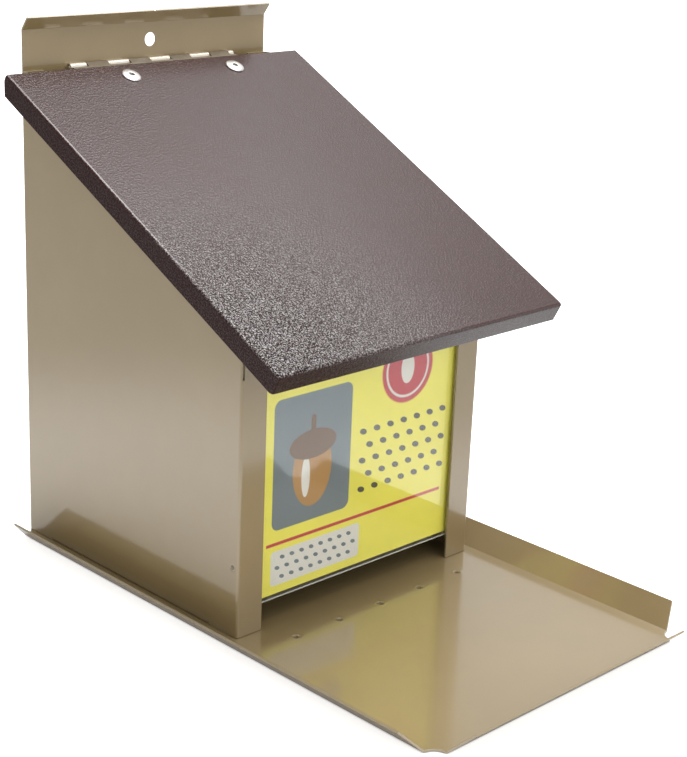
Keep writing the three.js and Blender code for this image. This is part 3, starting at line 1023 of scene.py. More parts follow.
@dataclass(frozen=True)
class PrintedCard(Finish):
    """Card printed in flat inks, laid down in order.

    Attributes:
        ground: The ink under all the others.
        low: The height of the card's lower edge, in millimetres.
        layers: The other inks, from the lowest to the uppermost.
        roughness: The roughness of the inks in patches, from the least to the most.
        fibre: How many fibres there are to a metre.
        relief: How high they are, in metres.
    """

    ground: str = "f8ee5c"
    low: float = CARD_LOW
    layers: tuple[PrintLayer, ...] = ()
    roughness: tuple[float, float] = (0.36, 0.46)
    fibre: float = 1500.0
    relief: float = 0.00001

    def wire(self, board: Board, at: NodeSocket) -> NodeSocket:
        """Wires the card.

        Args:
            board: The material that is being wired.
            at: Its coordinates.

        Returns:
            The shader's output.
        """
        in_mm = board.add("VectorMath", {0: at, "Scale": 1 / MM}, operation="SCALE")
        axes = board.axes(in_mm.outputs[0])
        rise = board.math("SUBTRACT", axes["Z"], self.low)
        face = board.add("CombineXYZ", {"X": axes["X"], "Z": rise}).outputs[0]

        colour, patches = mottled(board, at, linear(self.ground), scale=25.0, tint=0.03)
        for layer in self.layers:
            feeds: dict[str, object] = {
                "Vector": face,
                "Centre": (layer.centre[0], 0.0, layer.centre[1]),
                "Half": (layer.half[0], 1.0, layer.half[1]),
            }
            match layer.shape:
                case PrintShape.SLAB:
                    feeds |= {"Corner": layer.corner}
                    mask = board.group(SLAB.tree(), feeds).outputs[0]
                case PrintShape.SEEDS:
                    feeds |= {"Corner": layer.corner, "Pitch": layer.pitch}
                    mask = board.group(SEEDS.tree(), feeds).outputs[0]
                case PrintShape.ELLIPSE:
                    mask = board.group(ELLIPSE.tree(), feeds).outputs[0]
            colour = board.blend(mask, colour, linear(layer.colour))
        fibre = board.group(PEEL.tree(), {"Vector": at, "Scale": self.fibre}).outputs[0]
        rough = board.ramp(patches, 0.0, 1.0, self.roughness)
        normal = board.bump(fibre, self.relief, strength=0.6)
        shader = board.add("BsdfPrincipled", {"Base Color": colour, "Roughness": rough, "Normal": normal})
        return shader.outputs[0]


# Mesh work


@dataclass
class Fold:
    """A strip of sheet that is walked along its outer face, flat by flat and bend by bend.

    Attributes:
        bm: The mesh that the strip grows in.
        edge: The strip's leading edge.
        ahead: The way it is walking.
        inside: The way its thickness and its bends lie.
    """

    bm: BMesh
    edge: BMEdge
    ahead: Vector
    inside: Vector

    def flat(self, length: float) -> "Fold":
        """Walks straight on.

        Args:
            length: How far.

        Returns:
            The strip itself.
        """
        made = bmesh.ops.extrude_edge_only(self.bm, edges=[self.edge])["geom"]
        verts = [part for part in made if isinstance(part, BMVert)]
        bmesh.ops.translate(self.bm, verts=verts, vec=self.ahead * length)
        self.edge = next(part for part in made if isinstance(part, BMEdge) and set(part.verts) == set(verts))
        return self

    def bend(self, degrees: float, radius: float = OUTSIDE_BEND) -> "Fold":
        """Turns towards the inside.

        Args:
            degrees: The angle of the bend.
            radius: The radius of the outer face.

        Returns:
            The strip itself.
        """
        axis = self.ahead.cross(self.inside)
        made = bmesh.ops.spin(
            self.bm,
            geom=[self.edge, *self.edge.verts],
            cent=self.edge.verts[0].co + self.inside * radius,
            axis=axis,
            angle=math.radians(degrees),
            steps=math.ceil(degrees / BEND_STEP),
            use_duplicate=False,
        )["geom_last"]
        self.edge = next(part for part in made if isinstance(part, BMEdge))
        turn = Matrix.Rotation(math.radians(degrees), 3, axis)
        self.ahead = turn @ self.ahead
        self.inside = turn @ self.inside
        return self


def setback(degrees: float) -> float:
    """Returns how far a bend starts short of its sharp fold line."""
    return OUTSIDE_BEND * math.tan(math.radians(degrees / 2))


def first_edge(bm: BMesh, start: Sequence[float], end: Sequence[float]) -> BMEdge:
    """Starts a strip with one edge."""
    return bm.edges.new((bm.verts.new(start), bm.verts.new(end)))


def edge_at(bm: BMesh, point: Sequence[float]) -> BMEdge:
    """Finds the edge whose middle is nearest to a point."""
    target = Vector(point)
    return min(bm.edges, key=lambda e: ((e.verts[0].co + e.verts[1].co) / 2 - target).length)


def face_at(bm: BMesh, point: Sequence[float]) -> BMFace:
    """Finds the face whose middle is nearest to a point."""
    target = Vector(point)
    return min(bm.faces, key=lambda f: (f.calc_center_bounds() - target).length)


def score(
    bm: BMesh, point: Sequence[float], normal: Sequence[float], faces: Iterable[BMFace] | None = None,
    clear: bool = False,
) -> None:
    """Cuts faces along a plane.

    Args:
        bm: The mesh.
        point: A point on the plane.
        normal: The plane's normal.
        faces: The faces to cut, or all of them.
        clear: Whether what lies on the normal's side goes.
    """
    chosen = set(faces if faces is not None else bm.faces)
    parts = [*chosen, *{e for f in chosen for e in f.edges}, *{v for f in chosen for v in f.verts}]
    bmesh.ops.bisect_plane(bm, geom=parts, dist=1e-5, plane_co=point, plane_no=normal, clear_outer=clear)


def facing(bm: BMesh, way: Sequence[float]) -> list[BMFace]:
    """Returns the faces that look one way."""
    return [f for f in bm.faces if f.normal.dot(Vector(way)) > SAME_WAY]


def face_outwards(bm: BMesh, outside: Vector, probe: Sequence[float]) -> None:
    """Turns all faces one way, so that the one nearest to a probe faces outside.

    Args:
        bm: The mesh.
        outside: The way to face.
        probe: A point near the face that is looked at.
    """
    bmesh.ops.recalc_face_normals(bm, faces=bm.faces)
    if face_at(bm, probe).normal.dot(outside) < 0:
        bmesh.ops.reverse_faces(bm, faces=bm.faces)


def drill(bm: BMesh, centre: Sequence[float], axis: str, radius: float, depth: float = 6.0) -> None:
    """Adds a round cutter.

    Args:
        bm: The mesh of the cutters.
        centre: Its middle.
        axis: "Y" or "Z".
        radius: Its radius.
        depth: Its length.
    """
    turn = Matrix.Rotation(math.radians(90), 4, "X") if axis == "Y" else Matrix.Identity(4)
    bmesh.ops.create_cone(
        bm, cap_ends=True, segments=48, radius1=radius, radius2=radius, depth=depth,
        matrix=Matrix.Translation(centre) @ turn,
    )


def mill(bm: BMesh, low: Sequence[float], high: Sequence[float]) -> None:
    """Adds a square cutter between two corners.

    Args:
        bm: The mesh of the cutters.
        low: One corner.
        high: The opposite corner.
    """
    centre = [(a + b) / 2 for a, b in zip(low, high)]
    size = [abs(b - a) for a, b in zip(low, high)]
    bmesh.ops.create_cube(bm, size=1.0, matrix=Matrix.Translation(centre) @ Matrix.Diagonal((*size, 1.0)))


def laid_out(bm: BMesh, name: str, place: Matrix) -> bpy.types.Object:
    """Turns a finished bmesh into an object in the frame.

    Args:
        bm: The mesh in the maker's datum. It is freed.
        name: The object's name.
        place: Where its datum lies in the frame.

    Returns:
        The new object, at the origin.
    """
    bmesh.ops.transform(bm, matrix=place, verts=bm.verts)
    mesh = bpy.data.meshes.new(name)
    bm.to_mesh(mesh)
    bm.free()
    piece = bpy.data.objects.new(name, mesh)
    bpy.context.scene.collection.objects.link(piece)
    return piece


def settle(piece: bpy.types.Object) -> None:
    """Applies a piece's modifiers and smooths it.

    Args:
        piece: The object.
    """
    weighted = piece.modifiers.new("flat_faces_stay_flat", "WEIGHTED_NORMAL")
    weighted.keep_sharp = True
    weighted.weight = 60
    for polygon in piece.data.polygons:
        polygon.use_smooth = True
    graph = bpy.context.evaluated_depsgraph_get()
    mesh = bpy.data.meshes.new_from_object(
        piece.evaluated_get(graph), preserve_all_data_layers=True, depsgraph=graph
    )
    piece.modifiers.clear()
    raw = piece.data
    piece.data = mesh
    bpy.data.meshes.remove(raw)
    mesh.name = piece.name


def mark_cut_edges(mesh: bpy.types.Mesh) -> None:
    """Turns the faces in a sheet's second slot into a mask of its cut edges.

    Args:
        mesh: The sheet's mesh.
    """
    marks = [float(polygon.material_index > 0) for polygon in mesh.polygons]
    mesh.attributes.new(CUT_EDGE, "FLOAT", "FACE").data.foreach_set("value", marks)
    mesh.polygons.foreach_set("material_index", [0] * len(marks))
    mesh.materials.pop(index=1)


@dataclass
class SheetWork:
    """Turns a folded surface into a sheet part with holes and eased edges.

    Attributes:
        thickness: The sheet's thickness.
        eased: How far its cut edges are rounded.
    """

    thickness: float = SHEET
    eased: float = EASED_EDGE

    def finish(
        self, bm: BMesh, name: str, finish: Finish, place: Matrix = DATUM, cutters: BMesh | None = None
    ) -> bpy.types.Object:
        """Gives a surface its thickness, cuts it and eases its edges.

        Args:
            bm: The outer surface, facing outwards.
            name: The piece's name.
            finish: Its finish.
            place: Where its datum lies.
            cutters: Closed shapes to take out of it.

        Returns:
            The finished piece.
        """
        piece = laid_out(bm, name, place)
        for _ in range(2):
            piece.data.materials.append(finish.material())
        thick = piece.modifiers.new("thickness", "SOLIDIFY")
        thick.thickness = self.thickness * MM
        thick.offset = -1.0
        thick.use_even_offset = True
        thick.use_quality_normals = True
        thick.material_offset_rim = 1
        tool = None
        if cutters:
            tool = laid_out(cutters, "cutter", place)
            for _ in range(2):
                tool.data.materials.append(finish.material())
            for polygon in tool.data.polygons:
                polygon.material_index = 1
            cut = piece.modifiers.new("cut", "BOOLEAN")
            cut.operation = "DIFFERENCE"
            cut.solver = "EXACT"
            cut.object = tool
        ease_edges(piece, self.eased)
        settle(piece)
        mark_cut_edges(piece.data)
        if tool:
            scrap = tool.data
            bpy.data.objects.remove(tool)
            bpy.data.meshes.remove(scrap)
        return piece


def ease_edges(piece: bpy.types.Object, width: float, segments: int = 2) -> None:
    """Rounds the sharp edges of a piece.

    Args:
        piece: The object.
        width: The rounding, in millimetres.
        segments: How many faces it has.
    """
    eased = piece.modifiers.new("eased_edges", "BEVEL")
    eased.width = width * MM
    eased.segments = segments
    eased.limit_method = "ANGLE"
    eased.angle_limit = math.radians(40)
    eased.use_clamp_overlap = False


def turned(bm: BMesh, profile: Sequence[tuple[float, float]], axis: Sequence[float], steps: int = 40) -> None:
    """Turns a profile about an axis through the origin into a closed solid.

    Args:
        bm: The mesh to add it to.
        profile: Distance from the axis and place along it, from one end of the axis to the other.
        axis: The axis, X or Z.
        steps: How many faces it has round it.
    """
    along = Vector(axis)
    out = Vector((0.0, 1.0, 0.0)) if along.x else Vector((1.0, 0.0, 0.0))
    verts = [bm.verts.new(out * radius + along * rise) for radius, rise in profile]
    edges = [bm.edges.new(pair) for pair in zip(verts, verts[1:])]
    bmesh.ops.spin(
        bm, geom=[*verts, *edges], cent=(0, 0, 0), axis=along, angle=math.tau, steps=steps, use_merge=True
    )
    bmesh.ops.remove_doubles(bm, verts=bm.verts, dist=1e-4)
    bmesh.ops.recalc_face_normals(bm, faces=bm.faces)


def register(piece: bpy.types.Object, node: str, body: str) -> None:
    """Hides the CAD node that a piece stands for and hangs the piece on the body that carries it.

    Args:
        piece: The finished piece.
        node: The CAD node that it replaces.
        body: The body that carries it.
    """
    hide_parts(node)
    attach(piece, body)
    log.info("%s: %d faces on %s", piece.name, len(piece.data.polygons), body)


# The feeder's own finishes

WELD_HEIGHT = 34.6
WELD_FROM_BACK = 157.6
BOX_WIDTH = 152.4

DRAIN_COUNT = 5
DRAIN_PITCH = 26.8
DRAIN_FROM_BACK = 176.2
DRAIN_X = tuple((i - (DRAIN_COUNT - 1) / 2) * DRAIN_PITCH for i in range(DRAIN_COUNT))


def marks_at(
    places: Iterable[Sequence[float]], radius: float, dark: float, pressed: float
) -> tuple[Mark, ...]:
    """Makes like marks at places that are given in millimetres from the datum."""
    return tuple(Mark(tuple(DATUM @ Vector(place)), radius, dark, pressed) for place in places)


# Spot-weld and drain-punch dimples, each darkened with painted shade.
WELDS = marks_at(
    [(side.value * BOX_WIDTH / 2, -WELD_FROM_BACK, WELD_HEIGHT) for side in Side],
    radius=0.0014, dark=0.6, pressed=0.0001,
)
PUNCHED = marks_at(
    [(x, -DRAIN_FROM_BACK, SHEET) for x in DRAIN_X], radius=0.0022, dark=0.2, pressed=0.0001
)

RED = "c8303c"
SLATE = "6f7d84"
PALE = "e9e6dd"
DARK = "3b3a30"
NUT = "b98a4e"
CUP = "6b4a2c"

CARD_PRINT = (
    PrintLayer(PrintShape.SLAB, (-30.0, 62.0), (24.0, 31.0), SLATE, 4.0),
    PrintLayer(PrintShape.ELLIPSE, (-30.0, 56.0), (12.0, 18.0), NUT),
    PrintLayer(PrintShape.ELLIPSE, (-34.0, 53.0), (2.6, 10.0), PALE),
    PrintLayer(PrintShape.ELLIPSE, (-30.0, 68.0), (14.5, 7.0), CUP),
    PrintLayer(PrintShape.SLAB, (-30.0, 77.5), (1.5, 4.5), CUP, 1.2),
    PrintLayer(PrintShape.ELLIPSE, (30.0, 92.0), (17.0, 17.0), RED),
    PrintLayer(PrintShape.ELLIPSE, (30.0, 92.0), (14.4, 14.4), PALE),
    PrintLayer(PrintShape.ELLIPSE, (30.0, 92.0), (13.2, 13.2), RED),
    PrintLayer(PrintShape.ELLIPSE, (30.0, 92.0), (4.4, 7.6), PALE),
    PrintLayer(PrintShape.SEEDS, (29.0, 52.0), (29.3, 16.6), DARK, 0.2, 9.0),
    PrintLayer(PrintShape.SLAB, (0.0, 24.5), (57.0, 0.8), RED, 0.3),
    PrintLayer(PrintShape.SLAB, (-26.0, 12.5), (28.0, 8.5), PALE, 2.0),
    PrintLayer(PrintShape.SEEDS, (-26.0, 12.5), (25.6, 6.2), SLATE, 0.2, 6.0),
)

BODY_PAINT = SprayedPaint("body_paint_semi_gloss", "body_paint", marks=WELDS + PUNCHED)
LID_UP = (ON_LID.to_3x3() @ Vector((0.0, 0.0, 1.0))).normalized()
LID_PLANE = (LID_UP, LID_UP.dot(ON_LID @ Vector((0.0, 0.0, LID_TOP))))
LID_PAINT = HammeredPaint("lid_paint_hammered", "lid_paint", top=LID_PLANE)
ZINC = BareMetal("zinc_plate", "hinge_steel", "efe6d8", "cfc5b4", 0.36)
# The lid leaf takes the same zinc made darker, so that its knuckles read darker than the back leaf's.
DARKER_ZINC = BareMetal("zinc_plate_darker", "hinge_steel", "a3998a", "857b6c", 0.34)
ALUMINIUM = BareMetal("bright_aluminium", "rivet_aluminium", "f6f5f2", "d8d6d2", 0.3, 2600.0)
STEM_STEEL = BareMetal("pulled_stem_steel", "rivet_aluminium", "8f8b87", "6d6a66", 0.5, 2600.0)
ACRYLIC = ClearSheet("clear_acrylic_sheet", "clear_acrylic")
SAWN = SawnEdge("sawn_acrylic_edge", "clear_acrylic")
CARD = PrintedCard("printed_card_inks", "printed_card", layers=CARD_PRINT)


# Sub-assemblies


@dataclass
class TrayAndBack:
    """The seed tray and the back wall, folded from one sheet.

    Attributes:
        fold_width: The tray's width between the fold lines of its side flanges.
        fold_length: How far the front flange's fold line lies from the wall's back face.
        flange_width: The width of the flanges from their fold lines.
        flare: How steeply they rise, in degrees.
        mitre: How much their ends draw in, in degrees.
        relief_radius: The radius of the corner reliefs.
        rear_relief_set: How far behind the wall's back face the rear ones have their centres.
        wall_width: The wall's width.
        wall_height: Its height up to the lip's fold line.
        lip_width: The width of its lip from that line.
        lip_bend: How far the lip is bent, in degrees.
        hole_height: The height of the hanging hole's centre.
        hole_radius: Its radius.
        notch_radius: The radius of the notch in the lip.
        drain_radius: The radius of the drain holes.
        root_lap: How far the reliefs bite into the ends of the flanges.
    """

    fold_width: float = 163.8
    fold_length: float = 287.6
    flange_width: float = 14.7
    flare: float = 45.0
    mitre: float = 20.0
    relief_radius: float = 6.4
    rear_relief_set: float = 1.0
    wall_width: float = 150.0
    wall_height: float = 251.5
    lip_width: float = 7.6
    lip_bend: float = 37.4
    hole_height: float = 242.6
    hole_radius: float = 3.4
    notch_radius: float = 0.9
    drain_radius: float = 1.0
    root_lap: float = 0.1

    def build(self) -> bpy.types.Object:
        """Builds and dresses the sheet.

        Returns:
            The finished piece.
        """
        bm = bmesh.new()
        self._floor(bm)
        self._flanges(bm)
        self._wall(bm)
        face_outwards(bm, Vector((0.0, 0.0, -1.0)), (0.0, -self.fold_length / 2, 0.0))
        piece = SheetWork().finish(bm, "tray_and_back_sheet", BODY_PAINT, cutters=self._cutters())
        for vert in piece.data.vertices:
            vert.co.z = max(vert.co.z, 0.0)
        register(piece, "tray_and_back", HOUSING)
        return piece

    def _floor(self, bm: BMesh) -> None:
        """Lays the floor and scores it where the flanges and the wall begin.

        Args:
            bm: The mesh to add it to.
        """
        half = self.fold_width / 2 - setback(self.flare)
        front = -self.fold_length + setback(self.flare)
        middle = (front - OUTSIDE_BEND) / 2
        size = Matrix.Diagonal((2 * half, -OUTSIDE_BEND - front, 1.0, 1.0))
        bmesh.ops.create_grid(
            bm, x_segments=1, y_segments=1, size=0.5, matrix=Matrix.Translation((0.0, middle, 0.0)) @ size
        )
        root = self.relief_radius - self.root_lap
        side_from = -self.fold_length + root
        side_to = self.rear_relief_set - root
        for line in (side_from, side_to):
            score(bm, (0.0, line, 0.0), (0.0, 1.0, 0.0))
        rows = {
            front: self.fold_width / 2 - root,
            -OUTSIDE_BEND: self.wall_width / 2,
        }
        for line, reach in rows.items():
            for side in Side:
                row = [f for f in bm.faces if any(abs(v.co.y - line) < SAME_PLACE for v in f.verts)]
                score(bm, (side.value * reach, 0.0, 0.0), (1.0, 0.0, 0.0), row)

    def _flanges(self, bm: BMesh) -> None:
        """Folds up the front and side flanges and mitres their ends.

        Args:
            bm: The mesh with the floor.
        """
        half = self.fold_width / 2
        start = setback(self.flare)
        up = Vector((0.0, 0.0, 1.0))
        middle = -self.fold_length / 2
        roots = [(Vector((0.0, -self.fold_length + start, 0.0)), Vector((0.0, -1.0, 0.0)))]
        roots += [
            (Vector((side.value * (half - start), middle, 0.0)), Vector((side.value, 0.0, 0.0)))
            for side in Side
        ]
        for point, ahead in roots:
            before = set(bm.verts)
            Fold(bm, edge_at(bm, point), ahead, up).bend(self.flare).flat(self.flange_width - start)
            self._mitre([v for v in bm.verts if v not in before], ahead)

    def _mitre(self, verts: Iterable[BMVert], ahead: Vector) -> None:
        """Draws in the ends of a flange as it rises.

        Args:
            verts: The flange's points.
            ahead: The way the flange leaves the floor.
        """
        closing = math.tan(math.radians(self.mitre)) / math.cos(math.radians(self.flare))
        middle = -self.fold_length / 2
        for vert in verts:
            if ahead.y:
                past = max(0.0, -self.fold_length - vert.co.y)
                vert.co.x -= math.copysign(past * closing, vert.co.x)
            else:
                past = max(0.0, abs(vert.co.x) - self.fold_width / 2)
                vert.co.y -= math.copysign(past * closing, vert.co.y - middle)

    def _wall(self, bm: BMesh) -> None:
        """Folds up the back wall and turns its lip forward.

        Args:
            bm: The mesh with the floor.
        """
        lip_set = setback(self.lip_bend)
        root = edge_at(bm, (0.0, -OUTSIDE_BEND, 0.0))
        wall = Fold(bm, root, Vector((0.0, 1.0, 0.0)), Vector((0.0, 0.0, 1.0)))
        wall.bend(90.0).flat(self.wall_height - lip_set - OUTSIDE_BEND)
        wall.bend(self.lip_bend).flat(self.lip_width - lip_set)

    def _cutters(self) -> BMesh:
        """Shapes the corner reliefs, the drain holes, the hanging hole, the notch and the rivet holes.

        Returns:
            The cutters.
        """
        tools = bmesh.new()
        half = self.fold_width / 2
        for side in Side:
            for line in (-self.fold_length, self.rear_relief_set):
                drill(tools, (side.value * half, line, 0.0), "Z", self.relief_radius, depth=4.0)
        for x in DRAIN_X:
            drill(tools, (x, -DRAIN_FROM_BACK, 0.0), "Z", self.drain_radius)
        drill(tools, (0.0, 0.0, self.hole_height), "Y", self.hole_radius)
        lip_top = self.wall_height + self.lip_width * math.cos(math.radians(self.lip_bend))
        drill(tools, (0.0, -self.lip_width, lip_top), "Y", self.notch_radius, depth=16.0)
        for x in RIVET_X:
            drill(tools, (x, 0.0, HINGE_HEIGHT - RIVET_FROM_AXIS), "Y", RIVET_HOLE)
        return tools


@dataclass
class HopperSide:
    """One side of the hopper: a channel in plan, with a foot flange on the tray.

    Attributes:
        side: Which side it is.
        width: The hopper's width.
        depth: How deep the side is from front to back.
        front_flange: How wide its front return is.
        rear_flange: How wide its rear return is.
        foot_flange: How wide its foot is.
        rear_top: The height of its top before that is cut along the lid.
        hem: How high its returns begin, just above the tray.
        foot_clear: How far the foot stays away from the front and from the back.
        foot_zone: The height under which the web is cut for the foot.
        relief: How wide the reliefs at the foot's ends are, and how far they reach above its bend.
        slot_inset: How far in from the web's outer face the slot in the front fold lies.
        slot_width: Its width.
        slot_bottom: The height of its lower end.
        slot_height: How tall it is.
        rest_gap: How far the top stays under the closed lid.
    """

    side: Side
    width: float = BOX_WIDTH
    depth: float = 160.3
    front_flange: float = 14.6
    rear_flange: float = 12.6
    foot_flange: float = 12.6
    rear_top: float = 232.0
    hem: float = 1.2
    foot_clear: float = 20.0
    foot_zone: float = 9.0
    relief: tuple[float, float] = (0.4, 0.2)
    slot_inset: float = 1.1
    slot_width: float = 1.0
    slot_bottom: float = 122.5
    slot_height: float = 9.0
    rest_gap: float = 0.3

    def build(self) -> bpy.types.Object:
        """Builds and dresses the side.

        Returns:
            The finished piece.
        """
        bm = bmesh.new()
        hand = self.side.value
        outer = hand * self.width / 2
        rear = (outer - hand * self.rear_flange, -SHEET)
        start = first_edge(bm, (*rear, self.hem), (*rear, self.rear_top))
        channel = Fold(bm, start, Vector((hand, 0.0, 0.0)), Vector((0.0, -1.0, 0.0)))
        channel.flat(self.rear_flange - OUTSIDE_BEND).bend(90.0)
        channel.flat(self.depth - 2 * OUTSIDE_BEND).bend(90.0)
        channel.flat(self.front_flange - OUTSIDE_BEND)
        self._slope(bm)
        self._foot(bm, outer)
        middle = (outer, -SHEET - self.depth / 2, HINGE_HEIGHT / 2)
        face_outwards(bm, Vector((hand, 0.0, 0.0)), middle)
        name = f"{self.side.name.lower()}_side_sheet"
        piece = SheetWork().finish(bm, name, BODY_PAINT, cutters=self._cutters(outer))
        register(piece, f"{self.side.name.lower()}_side_panel", HOUSING)
        return piece

    def _slope(self, bm: BMesh) -> None:
        """Cuts the top along the closed lid.

        Args:
            bm: The mesh with the channel.
        """
        slope = math.radians(LID_SLOPE)
        normal = Vector((0.0, -math.sin(slope), math.cos(slope)))
        under = KNUCKLE_OUTSIDE + LEAF_GAP - self.rest_gap
        score(bm, Vector((0.0, HINGE_Y, HINGE_HEIGHT)) + normal * under, normal, clear=True)

    def _foot(self, bm: BMesh, outer: float) -> None:
        """Turns the foot flange in under the web and trims its ends.

        Args:
            bm: The mesh with the channel.
            outer: Where the web's outer face lies.
        """
        hand = self.side.value
        bend_top = SHEET + OUTSIDE_BEND
        foot_from = -SHEET - self.depth + self.foot_clear
        foot_to = -SHEET - self.foot_clear
        middle = (foot_from + foot_to) / 2
        web = (outer, middle, HINGE_HEIGHT / 2)
        score(bm, (0.0, 0.0, bend_top), (0.0, 0.0, 1.0), [face_at(bm, web)])
        strip = (outer, middle, (self.hem + bend_top) / 2)
        for line in (foot_from, foot_to):
            webs = [f for f in bm.faces if abs(abs(f.normal.x) - 1) < SAME_PLACE]
            low = [f for f in webs if f.calc_center_bounds().z < self.foot_zone]
            score(bm, (0.0, line, 0.0), (0.0, 1.0, 0.0), low)
        bmesh.ops.delete(bm, geom=[face_at(bm, strip)], context="FACES")
        before = set(bm.verts)
        root = edge_at(bm, (outer, middle, bend_top))
        foot = Fold(bm, root, Vector((0.0, 0.0, -1.0)), Vector((-hand, 0.0, 0.0)))
        foot.bend(90.0).flat(self.foot_flange - OUTSIDE_BEND)
        for vert in (v for v in bm.verts if v not in before):
            past = max(0.0, abs(outer) - OUTSIDE_BEND - abs(vert.co.x))
            vert.co.y -= math.copysign(past, vert.co.y - middle)

    def _cutters(self, outer: float) -> BMesh:
        """Shapes the slot in the front fold, the foot's reliefs and the rear corner's clearance.

        Args:
            outer: Where the web's outer face lies.

        Returns:
            The cutters.
        """
        tools = bmesh.new()
        hand = self.side.value
        front = -SHEET - self.depth
        slot = outer - hand * self.slot_inset
        mill(
            tools,
            (slot - self.slot_width / 2, front - 1.0, self.slot_bottom),
            (slot + self.slot_width / 2, front + OUTSIDE_BEND, self.slot_bottom + self.slot_height),
        )
        wide, tall = self.relief
        inner = outer - hand * 2 * SHEET
        for line in (front + self.foot_clear - wide, -SHEET - self.foot_clear):
            mill(tools, (outer + hand, line, 0.0), (inner, line + wide, SHEET + OUTSIDE_BEND + tall))
        corner = outer - hand * (self.rear_flange + 1.0)
        mill(tools, (outer + hand, -SHEET - OUTSIDE_BEND / 2, 0.0), (corner, 1.0, SHEET + OUTSIDE_BEND / 2))
        return tools


@dataclass
class Window:
    """The clear pane, the printed card behind it and the guides that hold them.

    Attributes:
        pane_width: The pane's width.
        pane_thickness: Its thickness.
        pane_low: The height of its lower edge.
        pane_height: How tall it is.
        pane_front: Where its front face lies.
        card_size: The card's width and height.
        card_thickness: How far behind the pane its back face lies.
        card_low: The height of its lower edge.
        card_gap: How far behind the pane its front face lies.
        pane_eased: The rounding of the pane's edges.
        card_eased: The rounding of the card's edges.
    """

    pane_width: float = 147.2
    pane_thickness: float = 2.4
    pane_low: float = 13.0
    pane_height: float = 136.0
    pane_front: float = -159.4
    card_size: float = 127.0
    card_thickness: float = 0.3
    card_low: float = CARD_LOW
    card_gap: float = 0.05
    pane_eased: float = 0.2
    card_eased: float = 0.06

    def build(self) -> list[bpy.types.Object]:
        """Builds the pane and the card and dresses the guides.

        Returns:
            The pane and the card.
        """
        half = self.pane_width / 2
        back = self.pane_front + self.pane_thickness
        low = (-half, self.pane_front, self.pane_low)
        high = (half, back, self.pane_low + self.pane_height)
        pane = self._plate("window_sheet", (ACRYLIC, SAWN), low, high, self.pane_eased)
        register(pane, "window_pane", HOUSING)
        edge = self.card_size / 2
        low = (-edge, back + self.card_gap, self.card_low)
        high = (edge, back + self.card_thickness, self.card_low + self.card_size)
        card = self._plate("window_card", (CARD,), low, high, self.card_eased)
        register(card, "label_card", HOUSING)
        for side in Side:
            dress_node(f"{side.name.lower()}_window_guide", BODY_PAINT)
        return [pane, card]

    def _plate(
        self, name: str, finishes: Sequence[Finish], low: Sequence[float], high: Sequence[float], eased: float
    ) -> bpy.types.Object:
        """Makes an upright plate with eased edges between two corners.

        Args:
            name: The piece's name.
            finishes: The finish of its faces and, where it differs, of its edges.
            low: Its lowest corner.
            high: Its highest corner.
            eased: The rounding of its edges.

        Returns:
            The finished plate.
        """
        bm = bmesh.new()
        mill(bm, low, high)
        for face in bm.faces:
            face.material_index = int(len(finishes) > 1 and abs(face.normal.y) < 0.5)
        piece = laid_out(bm, name, DATUM)
        for finish in finishes:
            piece.data.materials.append(finish.material())
        ease_edges(piece, eased)
        settle(piece)
        return piece


def dress_node(node: str, finish: Finish) -> None:
    """Gives a carried-over CAD node its finish.

    Args:
        node: The node's name.
        finish: Its finish.
    """
    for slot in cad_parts[node].material_slots:
        slot.material = finish.material()
    log.info("%s keeps its CAD shape", node)


